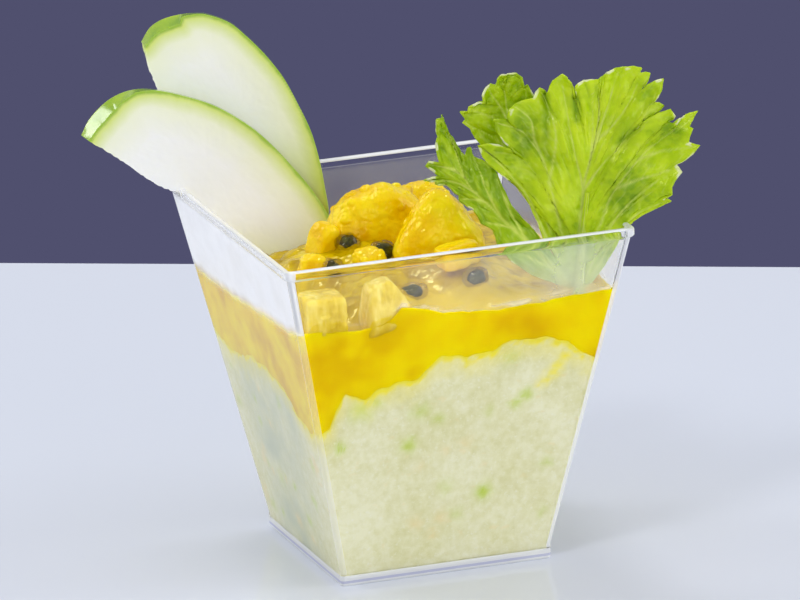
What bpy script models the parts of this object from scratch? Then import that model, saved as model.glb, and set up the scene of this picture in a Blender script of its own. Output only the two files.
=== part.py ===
"""A square, tapered clear tumbler filled with pale granita and a yellow fruit coulis.

Chunks of fruit lie on the coulis. Two crisp slices lean over the rear left corner and a leafy
sprig stands at the front right. The origin is the middle of the foot, on the table, +Z is up
and -Y is the tumbler's front. Lengths are in metres, and MM writes them in millimetres.
"""
import math

import bmesh
import bpy
from mathutils import Euler, Matrix, Vector, geometry, noise

MM = 0.001
GAP = 0.3 * MM

# Tumbler: half widths are from the axis to a flat side.
CUP_HEIGHT = 67.0 * MM
FOOT_HALF = 21.1 * MM
FOOT_HEIGHT = 2.2 * MM
FOOT_CHAMFER = 0.4 * MM
WALL_HALF_AT_TABLE = 20.65 * MM
WALL_SLOPE = 0.2074
WALL_THICKNESS = 0.9 * MM
FLOOR_THICKNESS = 1.5 * MM
FLOOR_FILLET = 0.5 * MM
RIM_HALF = 35.0 * MM
RIM_BAND_HEIGHT = 1.8 * MM
RIM_ROUNDING = 0.5 * MM
OUTER_CORNER_RADIUS = 1.2 * MM
INNER_CORNER_RADIUS = 0.6 * MM
CORNER_STEPS = 4

# Fillings: a level, and swells (x, y, radius, height) that raise or lower it, in millimetres.
GRANITA_LEVEL = 41.0
GRANITA_SWELLS = (
    (-29.0, -29.0, 8.0, -7.5),
    (-30.0, -20.0, 5.0, -3.0),
    (-28.0, 19.0, 6.0, -4.0),
    (4.0, -24.0, 14.0, 4.5),
    (18.0, -24.0, 10.0, 4.0),
    (8.0, 14.0, 16.0, 2.0),
)
COULIS_LEVEL = 54.0
COULIS_SWELLS = (
    (-10.0, 2.0, 14.0, 6.0),
    (6.0, -10.0, 11.0, 5.0),
    (-36.0, 14.0, 12.0, -4.0),
    (-36.0, -8.0, 10.0, -4.0),
    (-10.0, -33.0, 5.0, 4.0),
)
FILLING_REACH = 36.0 * MM
FILLING_CELLS = 21

# Fruit: name, centre, size in millimetres, turn in degrees, roundness, taper of the top, seed.
MANGO_PIECES = (
    ("mango_chunk_left", (-4.6, 6.2, 63.9), (17.0, 11.0, 12.8), (4, -6, 8), 0.55, 0.30, 3),
    ("mango_chunk_rear", (10.8, 16.8, 59.3), (13.0, 9.0, 13.2), (0, 8, -12), 0.50, 0.25, 8),
    ("mango_chunk_front", (6.4, -9.0, 64.3), (18.0, 11.0, 14.2), (-6, 4, -10), 0.45, 0.55, 5),
    ("mango_dice_left", (-16.4, 2.4, 61.9), (5.2, 5.4, 7.4), (8, 10, 20), 0.30, 0.10, 12),
    ("mango_dice_corner", (-20.4, -5.2, 58.6), (6.2, 6.0, 5.4), (-10, 12, -14), 0.30, 0.10, 14),
    ("mango_dice_middle", (-9.0, -7.4, 60.0), (5.8, 5.2, 5.0), (6, -12, 30), 0.25, 0.10, 17),
    ("mango_strip_front", (5.2, -18.6, 59.4), (8.4, 4.4, 4.0), (0, -8, 6), 0.25, 0.10, 19),
)
PINEAPPLE_PIECES = (
    ("pineapple_cube", (-25.7, -27.9, 56.6), (8.2, 8.0, 7.6), (0, 0, 0), 0.12, 0.02, 23),
    ("pineapple_wedge", (-13.6, -28.3, 57.0), (12.0, 7.4, 9.4), (0, -14, 0), 0.15, 0.60, 27),
)
LUMP_CUTS = 3
LUMP_UNEVENNESS = 0.10

# Seeds in their jelly, fused to the coulis: places in millimetres.
SEED_SPOTS = (
    (-4.4, -3.0), (-11.4, -1.6), (-16.8, -8.2), (-6.4, -24.6), (8.6, -24.0),
    (20.6, -4.0), (17.0, 5.6), (1.0, 16.4), (19.4, 16.0), (-2.8, 25.6), (23.0, -14.0),
)
SEED_SIZE = Vector((3.6, 2.8, 2.4)) * MM

# The shown side of every garnish faces this way round the tumbler.
FACING = math.radians(-19.3)

# Slices: a flat cut piece whose skin runs along a rounded arc above a straight cut.
SLICE_THICKNESS = 3.2 * MM
SLICE_EDGE_ROUNDING = 0.35 * MM
SLICE_ARC_STEPS = 44
SLICE_LEAN = math.radians(10.0)
SLICES = (
    {
        "name": "apple_slice_front",
        "tip": Vector((-51.7, 34.9, 78.0)) * MM,
        "fall": math.radians(28.4),
        "length": 58.0 * MM,
        "depth": 18.2 * MM,
        "crest": 0.41,
        "fullness": (2.6, 1.7),
    },
    {
        "name": "apple_slice_rear",
        "tip": Vector((-37.4, 37.6, 93.7)) * MM,
        "fall": math.radians(60.4),
        "length": 54.0 * MM,
        "depth": 21.0 * MM,
        "crest": 0.43,
        "fullness": (2.3, 2.4),
    },
)

# Sprig: three toothed leaflets and a stem in one upright, slightly leaning plane. Outlines are
# (across, up) in millimetres from the point where the leaflets meet, with a tip at each tooth.
SPRIG_BASE = Vector((25.3, -28.2, 53.6)) * MM
SPRIG_LEAN = math.radians(3.0)
LEAF_THICKNESS = 0.55 * MM
LEAF_GRID = 3.4
LEAF_CLEAR = 0.9
STEM_POINTS = ((0.4, -4.4), (0.0, 0.0), (0.8, 7.0), (1.6, 14.0), (2.4, 20.0))
STEM_RADII = (1.25, 1.2, 0.95, 0.7, 0.45)
LEAFLETS = (
    {
        "name": "leaflet_main",
        "right": (
            (1.1, 1.4), (2.5, 2.4), (5.2, 5.8), (7.2, 10.0), (7.7, 13.6), (8.6, 14.7),
            (11.0, 14.8), (14.8, 16.3), (18.5, 18.3), (18.4, 20.4), (19.2, 22.4),
            (20.8, 23.6), (19.6, 24.9), (24.2, 28.6), (22.2, 29.5), (22.8, 32.0),
            (24.2, 35.1), (20.2, 32.9), (18.9, 35.6), (15.9, 34.4), (12.2, 32.2),
            (14.6, 35.2), (17.6, 36.3), (16.1, 37.4), (17.6, 40.9), (13.8, 39.6),
            (15.0, 42.9), (13.4, 43.7), (9.6, 43.8), (6.6, 43.0), (5.3, 41.4),
        ),
        "left": (
            (-1.1, 1.4), (-4.0, 6.8), (-6.1, 12.0), (-7.3, 15.7), (-9.0, 20.0),
            (-12.5, 23.0), (-16.8, 27.6), (-17.9, 30.1), (-13.8, 30.2), (-10.4, 28.6),
            (-12.9, 31.8), (-14.6, 35.3), (-10.9, 34.4), (-11.8, 37.3), (-7.6, 38.9),
            (-5.9, 41.0), (-4.6, 38.8), (-3.4, 41.3), (-1.7, 42.9), (0.0, 40.8),
            (0.7, 38.0), (1.2, 40.8), (3.3, 42.1), (5.3, 41.4),
        ),
        "rooted": 0.0,
        "forward": 0.0,
        "wave": (1.1, 0.30),
    },
    {
        "name": "leaflet_left",
        "right": (
            (-0.4, 2.6), (-5.2, 9.4), (-9.2, 14.8), (-13.2, 20.0), (-15.9, 24.8),
            (-18.9, 28.2), (-19.6, 29.6), (-20.5, 28.3), (-21.1, 30.2), (-22.8, 32.2),
            (-24.0, 36.3),
        ),
        "left": (
            (-2.0, 1.8), (-8.6, 4.6), (-13.4, 8.2), (-16.2, 11.3), (-17.8, 14.2),
            (-19.8, 18.6), (-21.2, 18.2), (-23.9, 21.5), (-25.8, 22.9), (-28.3, 23.9),
            (-25.4, 24.6), (-27.6, 26.8), (-25.2, 27.6), (-25.5, 31.4), (-25.0, 34.4),
            (-24.0, 36.3),
        ),
        "rooted": 0.5,
        "forward": 1.2,
        "wave": (0.9, 0.42),
    },
    {
        "name": "leaflet_rear",
        "right": (
            (0.8, 3.0), (-2.0, 16.0), (-4.4, 30.0), (-6.2, 37.6), (-8.0, 41.6),
            (-9.4, 43.9), (-12.1, 44.3),
        ),
        "left": (
            (-1.8, 3.0), (-8.4, 18.0), (-14.0, 28.4), (-18.2, 32.0), (-20.2, 34.2),
            (-21.1, 36.2), (-19.6, 37.2), (-21.1, 37.8), (-17.0, 39.2), (-15.8, 41.2),
            (-13.6, 43.4), (-12.1, 44.3),
        ),
        "rooted": -0.5,
        "forward": -3.0,
        "wave": (0.9, 0.36),
    },
)

COLOURS = {
    "clear_plastic": ((0.90, 0.92, 0.93), 0.06),
    "granita": ((0.80, 0.82, 0.62), 0.45),
    "coulis": ((0.92, 0.62, 0.01), 0.18),
    "mango": ((0.93, 0.58, 0.01), 0.25),
    "pineapple": ((0.90, 0.78, 0.28), 0.30),
    "apple": ((0.86, 0.88, 0.74), 0.40),
    "celery": ((0.33, 0.58, 0.03), 0.42),
}


def clear_scene():
    """Remove every object, so that the model starts from an empty scene."""
    for item in list(bpy.data.objects):
        bpy.data.objects.remove(item, do_unlink=True)


def material_named(name):
    """Return the Principled material of one kind of food or of the tumbler."""
    found = bpy.data.materials.get(name)
    if found:
        return found
    colour, roughness = COLOURS[name]
    made = bpy.data.materials.new(name)
    made.use_nodes = True
    shader = made.node_tree.nodes["Principled BSDF"]
    shader.inputs["Base Color"].default_value = (*colour, 1.0)
    shader.inputs["Roughness"].default_value = roughness
    shader.inputs["Metallic"].default_value = 0.0
    return made


def object_from(name, bm, material, placing=None):
    """Turn a bmesh into a smooth shaded object, with its faces pointing out."""
    bmesh.ops.recalc_face_normals(bm, faces=bm.faces)
    mesh = bpy.data.meshes.new(name)
    bm.to_mesh(mesh)
    bm.free()
    if placing:
        mesh.transform(placing)
    mesh.materials.append(material_named(material))
    mesh.shade_smooth()
    mesh.set_sharp_from_angle(angle=math.radians(35.0))
    made = bpy.data.objects.new(name, mesh)
    bpy.context.scene.collection.objects.link(made)
    return made


def bake(target):
    """Replace an object's mesh by its evaluated mesh and drop the modifiers."""
    graph = bpy.context.evaluated_depsgraph_get()
    graph.update()
    result = bpy.data.meshes.new_from_object(target.evaluated_get(graph), depsgraph=graph)
    target.modifiers.clear()
    target.data = result


def combine(target, tools, operation, solver="EXACT"):
    """Apply one Boolean between an object and a group of closed tools, then drop the tools."""
    group = bpy.data.collections.new(target.name + "_tools")
    bpy.context.scene.collection.children.link(group)
    for tool in tools:
        bpy.context.scene.collection.objects.unlink(tool)
        group.objects.link(tool)
    boolean = target.modifiers.new("combine", "BOOLEAN")
    boolean.operation = operation
    boolean.operand_type = "COLLECTION"
    boolean.collection = group
    boolean.solver = solver
    bake(target)
    for tool in list(group.objects):
        bpy.data.objects.remove(tool, do_unlink=True)
    bpy.data.collections.remove(group)


def keep_largest(target):
    """Drop the loose scraps that a cut leaves beside an object's main body."""
    bm = bmesh.new()
    bm.from_mesh(target.data)
    bmesh.ops.remove_doubles(bm, verts=bm.verts, dist=1e-7)
    waiting = set(bm.faces)
    bodies = []
    while waiting:
        body = {waiting.pop()}
        edge_of_body = list(body)
        while edge_of_body:
            face = edge_of_body.pop()
            near = {other for edge in face.edges for other in edge.link_faces} & waiting
            waiting -= near
            body |= near
            edge_of_body.extend(near)
        bodies.append(body)
    bodies.sort(key=len)
    for body in bodies[:-1]:
        bmesh.ops.delete(bm, geom=list(body), context="FACES")
    bm.to_mesh(target.data)
    bm.free()


def grown_copy(source, distance):
    """Return a copy of a solid whose faces lie a distance outside the original's."""
    bm = bmesh.new()
    bm.from_mesh(source.data)
    bm.normal_update()
    shifts = [vert.normal * distance * vert.calc_shell_factor() for vert in bm.verts]
    for vert, shift in zip(bm.verts, shifts):
        vert.co += shift
    mesh = bpy.data.meshes.new(source.name + "_clearance")
    bm.to_mesh(mesh)
    bm.free()
    made = bpy.data.objects.new(mesh.name, mesh)
    bpy.context.scene.collection.objects.link(made)
    return made


def square_ring(bm, half, radius, height):
    """Add the vertices of a square with rounded corners."""
    centre = half - radius
    verts = []
    for quarter in range(4):
        for step in range(CORNER_STEPS + 1):
            angle = math.radians(90.0) * (quarter + step / CORNER_STEPS)
            middle = math.radians(90.0) * quarter + math.radians(45.0)
            x = math.copysign(centre, math.cos(middle)) + radius * math.cos(angle)
            y = math.copysign(centre, math.sin(middle)) + radius * math.sin(angle)
            verts.append(bm.verts.new((x, y, height)))
    return verts


def lofted_squares(profile):
    """Join rounded squares (half width, corner radius, height) by quads and cap both ends."""
    bm = bmesh.new()
    rings = [square_ring(bm, *values) for values in profile]
    for lower, upper in zip(rings, rings[1:]):
        for index in range(len(lower)):
            after = (index + 1) % len(lower)
            bm.faces.new((lower[index], lower[after], upper[after], upper[index]))
    bm.faces.new(rings[0])
    bm.faces.new(rings[-1])
    return bm


def outer_half(height):
    """Half width of the tumbler's sloping outer wall at a height."""
    return WALL_HALF_AT_TABLE + WALL_SLOPE * height


def inner_half(height):
    """Half width of the tumbler's hollow at a height."""
    return outer_half(height) - WALL_THICKNESS


def make_cup():
    """Tumbler: foot, sloping walls, a rounded rim band and the hollow, as one profile."""
    band_base = CUP_HEIGHT - RIM_BAND_HEIGHT
    outer, inner = OUTER_CORNER_RADIUS, INNER_CORNER_RADIUS
    fillet_top = FLOOR_THICKNESS + FLOOR_FILLET
    profile = [
        (FOOT_HALF - FOOT_CHAMFER, outer, 0.0),
        (FOOT_HALF, outer, FOOT_CHAMFER),
        (outer_half(FOOT_HEIGHT), outer, FOOT_HEIGHT),
        (outer_half(band_base), outer, band_base),
        (RIM_HALF - 0.3 * RIM_ROUNDING, outer, band_base + 0.9 * RIM_ROUNDING),
        (RIM_HALF, outer, CUP_HEIGHT - RIM_ROUNDING),
        (RIM_HALF - 0.3 * RIM_ROUNDING, outer, CUP_HEIGHT - 0.3 * RIM_ROUNDING),
        (RIM_HALF - RIM_ROUNDING, outer, CUP_HEIGHT),
        (inner_half(CUP_HEIGHT) + 0.5 * RIM_ROUNDING, inner, CUP_HEIGHT),
        (inner_half(CUP_HEIGHT - RIM_ROUNDING), inner, CUP_HEIGHT - RIM_ROUNDING),
        (inner_half(fillet_top), inner, fillet_top),
        (inner_half(fillet_top) - FLOOR_FILLET, inner, FLOOR_THICKNESS),
    ]
    return object_from("cup", lofted_squares(profile), "clear_plastic")


def make_hollow():
    """Tool shaped as the tumbler's hollow, a gap smaller all round."""
    low = FLOOR_THICKNESS + GAP
    side = inner_half(0.0) - GAP * 1.05
    profile = [
        (side + WALL_SLOPE * (low + FLOOR_FILLET) - FLOOR_FILLET, INNER_CORNER_RADIUS, low),
        (side + WALL_SLOPE * (low + FLOOR_FILLET), INNER_CORNER_RADIUS, low + FLOOR_FILLET),
        (side + WALL_SLOPE * CUP_HEIGHT, INNER_CORNER_RADIUS, CUP_HEIGHT),
    ]
    return object_from("hollow", lofted_squares(profile), "granita")


def swollen(level, swells, x, y):
    """Height in metres at x and y of a level raised and lowered by round swells."""
    height = level
    for centre_x, centre_y, radius, rise in swells:
        away = (x / MM - centre_x) ** 2 + (y / MM - centre_y) ** 2
        height += rise * math.exp(-away / radius**2)
    return height * MM


def granita_top(x, y):
    """Height of the granita's uneven top."""
    return swollen(GRANITA_LEVEL, GRANITA_SWELLS, x, y)


def coulis_top(x, y):
    """Height of the heaped coulis."""
    return swollen(COULIS_LEVEL, COULIS_SWELLS, x, y)


def make_filling(name, low_height, high_height):
    """Filling between two height functions, trimmed to the tumbler's hollow."""
    bm = bmesh.new()
    cells = FILLING_CELLS
    made = bmesh.ops.create_grid(bm, x_segments=cells, y_segments=cells, size=FILLING_REACH)
    for vert in made["verts"]:
        vert.co.z = low_height(vert.co.x, vert.co.y)
    raised = bmesh.ops.extrude_face_region(bm, geom=list(bm.faces))
    for vert in (item for item in raised["geom"] if isinstance(item, bmesh.types.BMVert)):
        vert.co.z = high_height(vert.co.x, vert.co.y)
    filling = object_from(name, bm, name)
    combine(filling, [make_hollow()], "INTERSECT")
    return filling


def make_lump(piece, material):
    """Uneven piece of fruit: a gridded block, rounded, tapered upwards and roughened."""
    name, centre, size, turn, roundness, taper, seed = piece
    bm = bmesh.new()
    bmesh.ops.create_cube(bm, size=1.0)
    bmesh.ops.subdivide_edges(bm, edges=list(bm.edges), cuts=LUMP_CUTS, use_grid_fill=True)
    for vert in bm.verts:
        ball = vert.co.normalized() * 0.56
        spot = vert.co.lerp(ball, roundness)
        swing = noise.noise(spot * 2.6 + Vector((seed, 0.0, -seed)))
        spot *= 1.0 + LUMP_UNEVENNESS * swing
        spot.x *= 1.0 - taper * (spot.z + 0.5)
        spot.y *= 1.0 - 0.5 * taper * (spot.z + 0.5)
        vert.co = spot
    scale = Matrix.Diagonal((*(Vector(size) * MM), 1.0))
    angles = Euler([math.radians(value) for value in turn])
    placing = Matrix.Translation(Vector(centre) * MM) @ angles.to_matrix().to_4x4() @ scale
    return object_from(name, bm, material, placing)


def facing_matrix(origin, lean):
    """Placing of a flat garnish: its X runs across, its Y up and its Z to the viewer."""
    upright = Matrix.Rotation(math.radians(90.0) - lean, 4, "X")
    return Matrix.Translation(origin) @ Matrix.Rotation(FACING, 4, "Z") @ upright


def slice_outline(piece):
    """Outline of a slice: the straight cut along X and the arc of skin above it."""
    crest_x = piece["crest"] * piece["length"]
    points = []
    for step in range(1, SLICE_ARC_STEPS):
        angle = math.pi * (1.0 - step / SLICE_ARC_STEPS)
        side = 0 if angle > math.pi / 2 else 1
        reach = (piece["length"] - crest_x) if side else crest_x
        power = 2.0 / piece["fullness"][side]
        x = crest_x + math.copysign(reach * abs(math.cos(angle)) ** power, math.cos(angle))
        points.append((x, piece["depth"] * math.sin(angle) ** power))
    return [(0.0, 0.0), *points, (piece["length"], 0.0)]


def make_slice(piece):
    """Crisp fruit slice: the outline extruded to its thickness, with softened edges."""
    bm = bmesh.new()
    face = bm.faces.new([bm.verts.new((x, y, 0.0)) for x, y in slice_outline(piece)])
    raised = bmesh.ops.extrude_face_region(bm, geom=[face])
    back = [item for item in raised["geom"] if isinstance(item, bmesh.types.BMVert)]
    bmesh.ops.translate(bm, verts=back, vec=(0.0, 0.0, -SLICE_THICKNESS))
    bmesh.ops.recalc_face_normals(bm, faces=bm.faces)
    rims = [edge for edge in bm.edges if abs(edge.verts[0].co.z - edge.verts[1].co.z) < 1e-6]
    bmesh.ops.bevel(bm, geom=rims, offset=SLICE_EDGE_ROUNDING, segments=1, affect="EDGES")
    fall = Matrix.Rotation(-piece["fall"], 4, "Z")
    placing = facing_matrix(piece["tip"], SLICE_LEAN) @ fall
    return object_from(piece["name"], bm, "apple", placing)


def leaf_depth(across, up, leaflet):
    """Distance in millimetres of the blade from the sprig's plane, towards the viewer."""
    depth, pitch = leaflet["wave"]
    ripple = math.sin(pitch * (across * 1.3 + up * 0.6)) * math.cos(pitch * (up - 0.4 * across))
    freed = min(1.0, max(0.0, (up - 2.0) / 9.0))
    return leaflet["rooted"] + freed * (depth * ripple + leaflet["forward"])


def inside_points(outline):
    """Points of an even grid that lie well inside an outline, as pairs in millimetres."""
    lows = [min(point[axis] for point in outline) for axis in (0, 1)]
    counts = [
        int((max(point[axis] for point in outline) - lows[axis]) / LEAF_GRID) for axis in (0, 1)
    ]
    spots = []
    for column in range(counts[0] + 1):
        for row in range(counts[1] + 1):
            shift = 0.5 * (row % 2)
            spot = Vector((lows[0] + (column + shift) * LEAF_GRID, lows[1] + row * LEAF_GRID))
            if margin_distance(spot, outline) > LEAF_CLEAR:
                spots.append(spot)
    return spots


def margin_distance(spot, outline):
    """Distance from a spot to a closed outline, negative outside it."""
    nearest = math.inf
    crossings = 0
    for start, end in zip(outline, outline[1:] + outline[:1]):
        a, b = Vector(start), Vector(end)
        share = min(1.0, max(0.0, (spot - a).dot(b - a) / (b - a).length_squared))
        nearest = min(nearest, (a.lerp(b, share) - spot).length)
        if (a.y > spot.y) != (b.y > spot.y):
            crossings += spot.x < a.x + (spot.y - a.y) * (b.x - a.x) / (b.y - a.y)
    return nearest if crossings % 2 else -nearest


def make_leaflet(leaflet):
    """Toothed leaflet: its outline filled with triangles, waved and given a thickness."""
    outline = [*leaflet["right"], *reversed(leaflet["left"][:-1])]
    spots = [Vector(point) for point in outline] + inside_points(outline)
    border = list(range(len(outline)))
    filled = geometry.delaunay_2d_cdt(spots, [], [border], 1, 1e-4)
    bm = bmesh.new()
    verts = [
        bm.verts.new((spot.x * MM, spot.y * MM, leaf_depth(spot.x, spot.y, leaflet) * MM))
        for spot in filled[0]
    ]
    for corners in filled[2]:
        bm.faces.new([verts[corner] for corner in corners])
    made = object_from(leaflet["name"], bm, "celery", facing_matrix(SPRIG_BASE, SPRIG_LEAN))
    solid = made.modifiers.new("thickness", "SOLIDIFY")
    solid.thickness = LEAF_THICKNESS
    solid.offset = 0.0
    bake(made)
    return made


def make_stem(name, extra_radius):
    """Stem: a tapering round rod along the sprig's lower middle, down into the coulis."""
    curve = bpy.data.curves.new(name, "CURVE")
    curve.dimensions = "3D"
    curve.bevel_depth = 1.0 * MM
    curve.bevel_resolution = 2
    curve.use_fill_caps = True
    line = curve.splines.new("POLY")
    line.points.add(len(STEM_POINTS) - 1)
    placing = facing_matrix(SPRIG_BASE, SPRIG_LEAN)
    for point, (across, up), radius in zip(line.points, STEM_POINTS, STEM_RADII):
        point.co = (*(placing @ Vector((across * MM, up * MM, 0.0))), 1.0)
        point.radius = radius + extra_radius / MM
    guide = bpy.data.objects.new(name, curve)
    bpy.context.scene.collection.objects.link(guide)
    bm = bmesh.new()
    bm.from_mesh(mesh_of(guide))
    bpy.data.objects.remove(guide, do_unlink=True)
    bmesh.ops.remove_doubles(bm, verts=bm.verts, dist=1e-6)
    return object_from(name, bm, "celery")


def mesh_of(source):
    """Mesh of an object as it is evaluated."""
    graph = bpy.context.evaluated_depsgraph_get()
    graph.update()
    return bpy.data.meshes.new_from_object(source.evaluated_get(graph), depsgraph=graph)


def make_sprig():
    """Leafy sprig: three leaflets and their stem, fused into one solid."""
    leaflets = [make_leaflet(leaflet) for leaflet in LEAFLETS]
    sprig = leaflets[0]
    sprig.name = "celery_sprig"
    combine(sprig, [*leaflets[1:], make_stem("stem", 0.0)], "UNION")
    keep_largest(sprig)
    return sprig


def make_seeds():
    """Seeds in their jelly, half sunk in the coulis."""
    seeds = []
    for index, (across, along_y) in enumerate(SEED_SPOTS):
        bm = bmesh.new()
        bmesh.ops.create_icosphere(bm, subdivisions=1, radius=0.5)
        x, y = across * MM, along_y * MM
        turn = Matrix.Rotation(math.radians(50.0 * index), 4, "Z")
        spot = Vector((x, y, coulis_top(x, y) + 0.15 * SEED_SIZE.z))
        placing = Matrix.Translation(spot) @ turn @ Matrix.Diagonal((*SEED_SIZE, 1.0))
        seeds.append(object_from(f"seed_{index}", bm, "coulis", placing))
    return seeds


def main():
    """Build the tumbler, its fillings, the fruit and the garnishes."""
    clear_scene()
    make_cup()
    make_filling("granita", lambda x, y: 0.0, granita_top)
    mango = [make_lump(piece, "mango") for piece in MANGO_PIECES]
    pineapple = [make_lump(piece, "pineapple") for piece in PINEAPPLE_PIECES]
    for piece in pineapple:
        combine(piece, [make_hollow()], "INTERSECT")
    slices = [make_slice(piece) for piece in SLICES]
    make_sprig()
    coulis = make_filling("coulis", lambda x, y: granita_top(x, y) + 1.3 * GAP, coulis_top)
    combine(coulis, make_seeds(), "UNION")
    clearances = [grown_copy(piece, GAP * 1.1) for piece in mango + pineapple + slices]
    clearances.append(make_stem("stem_clearance", GAP * 1.3))
    combine(coulis, clearances, "DIFFERENCE", "MANIFOLD")
    keep_largest(coulis)


main()
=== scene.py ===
"""Studio view of a square dessert tumbler of pale granita, fruit coulis, fruit and garnishes.

Every piece is a surface worked out as whole arrays. Sizes are in millimetres and MM turns them
into the frame's metres. +Z is up, -Y is the tumbler's front and the origin is the middle of its
foot.
"""

import logging
from dataclasses import dataclass
from enum import Enum, IntEnum
from functools import reduce

import bmesh
import bpy
import numpy as np
from mathutils import Euler, Matrix, Vector


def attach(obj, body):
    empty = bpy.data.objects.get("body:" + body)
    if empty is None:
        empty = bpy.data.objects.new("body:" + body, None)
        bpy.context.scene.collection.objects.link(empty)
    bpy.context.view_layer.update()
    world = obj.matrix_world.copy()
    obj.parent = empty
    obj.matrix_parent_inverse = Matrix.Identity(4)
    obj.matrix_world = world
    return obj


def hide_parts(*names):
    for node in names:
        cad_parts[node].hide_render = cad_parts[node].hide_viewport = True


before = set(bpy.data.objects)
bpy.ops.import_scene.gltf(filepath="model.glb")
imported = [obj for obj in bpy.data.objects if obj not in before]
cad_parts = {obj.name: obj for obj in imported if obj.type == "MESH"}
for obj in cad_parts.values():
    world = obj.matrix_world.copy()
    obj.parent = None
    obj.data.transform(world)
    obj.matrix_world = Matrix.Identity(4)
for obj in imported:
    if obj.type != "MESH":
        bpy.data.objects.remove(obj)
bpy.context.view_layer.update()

LOG = logging.getLogger("verrine")
Array = np.ndarray
Object = bpy.types.Object
Material = bpy.types.Material
Socket = bpy.types.NodeSocket
Triple = tuple[float, float, float]
Colour = Triple
Pair = tuple[float, float]
Pairs = tuple[Pair, ...]
Rows = tuple[tuple[float, ...], ...]
Value = Socket | Triple | float

MM = 0.001
BODY = "root"
# Turn about the upright axis that lets a flat garnish face the viewer.
GARNISH_FACING = np.radians(-19.3)
# How far the fillings reach into the tumbler's wall, in millimetres.
WALL_REACH = 0.35
UNTINTED: Colour = (1.0, 1.0, 1.0)
POLES = np.array([[[0.0, 0.0, 1.0]], [[0.0, 0.0, -1.0]]])


class Slot(Enum):
    """The record's material slots."""

    PLASTIC = "clear_plastic"
    GRANITA = "granita"
    COULIS = "coulis"
    MANGO = "mango"
    PINEAPPLE = "pineapple"
    SLICE = "apple"
    LEAF = "celery"


# Numbers into shapes.


def lattice_noise(points: Array, seed: int) -> Array:
    """Smooth noise: a random number at each corner of a unit lattice, blended by an s-curve.

    Args:
        points: places in lattice units, three numbers each in the last axis.
        seed: which noise to draw.

    Returns:
        One number for each place, from -1 to 1.
    """
    cell = np.floor(points).astype(np.int64)
    part = points - cell
    ease = part**3 * (part * (part * 6.0 - 15.0) + 10.0)
    total = np.zeros(points.shape[:-1])
    for corner in np.ndindex(2, 2, 2):
        step = np.array(corner)
        weight = np.prod(np.where(step == 1, ease, 1.0 - ease), axis=-1)
        total += weight * corner_values(cell + step, seed)
    return total


def corner_values(cell: Array, seed: int) -> Array:
    """Random numbers from -1 to 1 for whole-number places, mixed from their coordinates.

    Args:
        cell: whole-number places, three numbers each in the last axis.
        seed: which numbers to draw.

    Returns:
        One number for each place.
    """
    mixed = (cell * np.array([73856093, 19349663, 83492791])).sum(axis=-1) + seed * 977_351
    mixed = (mixed ^ (mixed >> 13)) * 1_274_126_177
    mixed = (mixed ^ (mixed >> 16)) & 0xFFFFFF
    return mixed / 0x7FFFFF - 1.0


def layered_noise(points: Array, seed: int, layers: int = 3) -> Array:
    """Sum of noises, each twice as fine and half as strong as the one before.

    Args:
        points: places in units of the coarsest noise.
        seed: which noise to draw.
        layers: how many noises are summed.

    Returns:
        One number for each place, about -1 to 1.
    """
    total = np.zeros(points.shape[:-1])
    for layer in range(layers):
        total += lattice_noise(points * 2.0**layer + 17.3 * layer, seed + layer) * 0.5**layer
    return total


def lump_field(points: Array, seed: int) -> Array:
    """Round lumps: one jittered spot in each unit cell, and a dome that falls to 0 around it.

    Args:
        points: places in units of the cells.
        seed: which spots to draw.

    Returns:
        Height of the highest dome at each place, from 0 to 1.
    """
    cell = np.floor(points).astype(np.int64)
    nearest = np.full(points.shape[:-1], 9.0)
    for shift in np.ndindex(3, 3, 3):
        near = cell + np.array(shift) - 1
        jitter = [0.5 + 0.42 * corner_values(near, seed + axis) for axis in range(3)]
        away = points - near - np.stack(jitter, axis=-1)
        nearest = np.minimum(nearest, (away**2).sum(axis=-1))
    return np.sqrt(np.clip(1.0 - nearest / 0.42, 0.0, 1.0))


def smooth_step(value: Array, low: float, high: float) -> Array:
    """S-curve from 0 at low to 1 at high.

    Args:
        value: numbers to ease.
        low: where the curve leaves 0.
        high: where the curve reaches 1.

    Returns:
        The eased numbers.
    """
    share = np.clip((value - low) / (high - low), 0.0, 1.0)
    return share * share * (3.0 - 2.0 * share)


@dataclass(frozen=True)
class Patches:
    """Soft patches of noise: their width in millimetres, and the range that eases them in."""

    width: float | Triple
    seed: int
    low: float
    high: float
    top: float = 1.0
    layers: int = 3

    def on(self, points: Array) -> Array:
        """Strength of the patches, from 0 to top, at places in millimetres."""
        noise = layered_noise(points / self.width, self.seed, self.layers)
        return self.top * smooth_step(noise, self.low, self.high)


@dataclass
class Surface:
    """Points in metres, the faces that join them, named numbers on the points, face finishes."""

    points: Array
    faces: list[list[int]]
    numbers: dict[str, Array]
    kinds: Array | None = None

    def join(self, other: "Surface") -> "Surface":
        """Join another surface to this one.

        Args:
            other: a surface with numbers of the same names.

        Returns:
            Both as one, the other's points after this one's.
        """
        shift = len(self.points)
        moved = [[corner + shift for corner in face] for face in other.faces]
        numbers = {
            name: np.concatenate((values, other.numbers[name]))
            for name, values in self.numbers.items()
        }
        return Surface(np.vstack((self.points, other.points)), self.faces + moved, numbers)

    def to_object(self, name: str, *materials: Material) -> Object:
        """Smooth shaded object at the origin.

        Args:
            name: the object's name.
            *materials: its finishes, in the order in which kinds counts them.

        Returns:
            The linked object.
        """
        mesh = bpy.data.meshes.new(name)
        mesh.from_pydata(self.points.tolist(), [], self.faces)
        for label, values in self.numbers.items():
            layer = mesh.attributes.new(label, "FLOAT", "POINT")
            layer.data.foreach_set("value", values.astype(np.float32))
        for material in materials:
            mesh.materials.append(material)
        if self.kinds is not None:
            mesh.polygons.foreach_set("material_index", self.kinds.astype(np.int32))
        mesh.shade_smooth()
        made = bpy.data.objects.new(name, mesh)
        bpy.context.scene.collection.objects.link(made)
        return made


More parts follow.
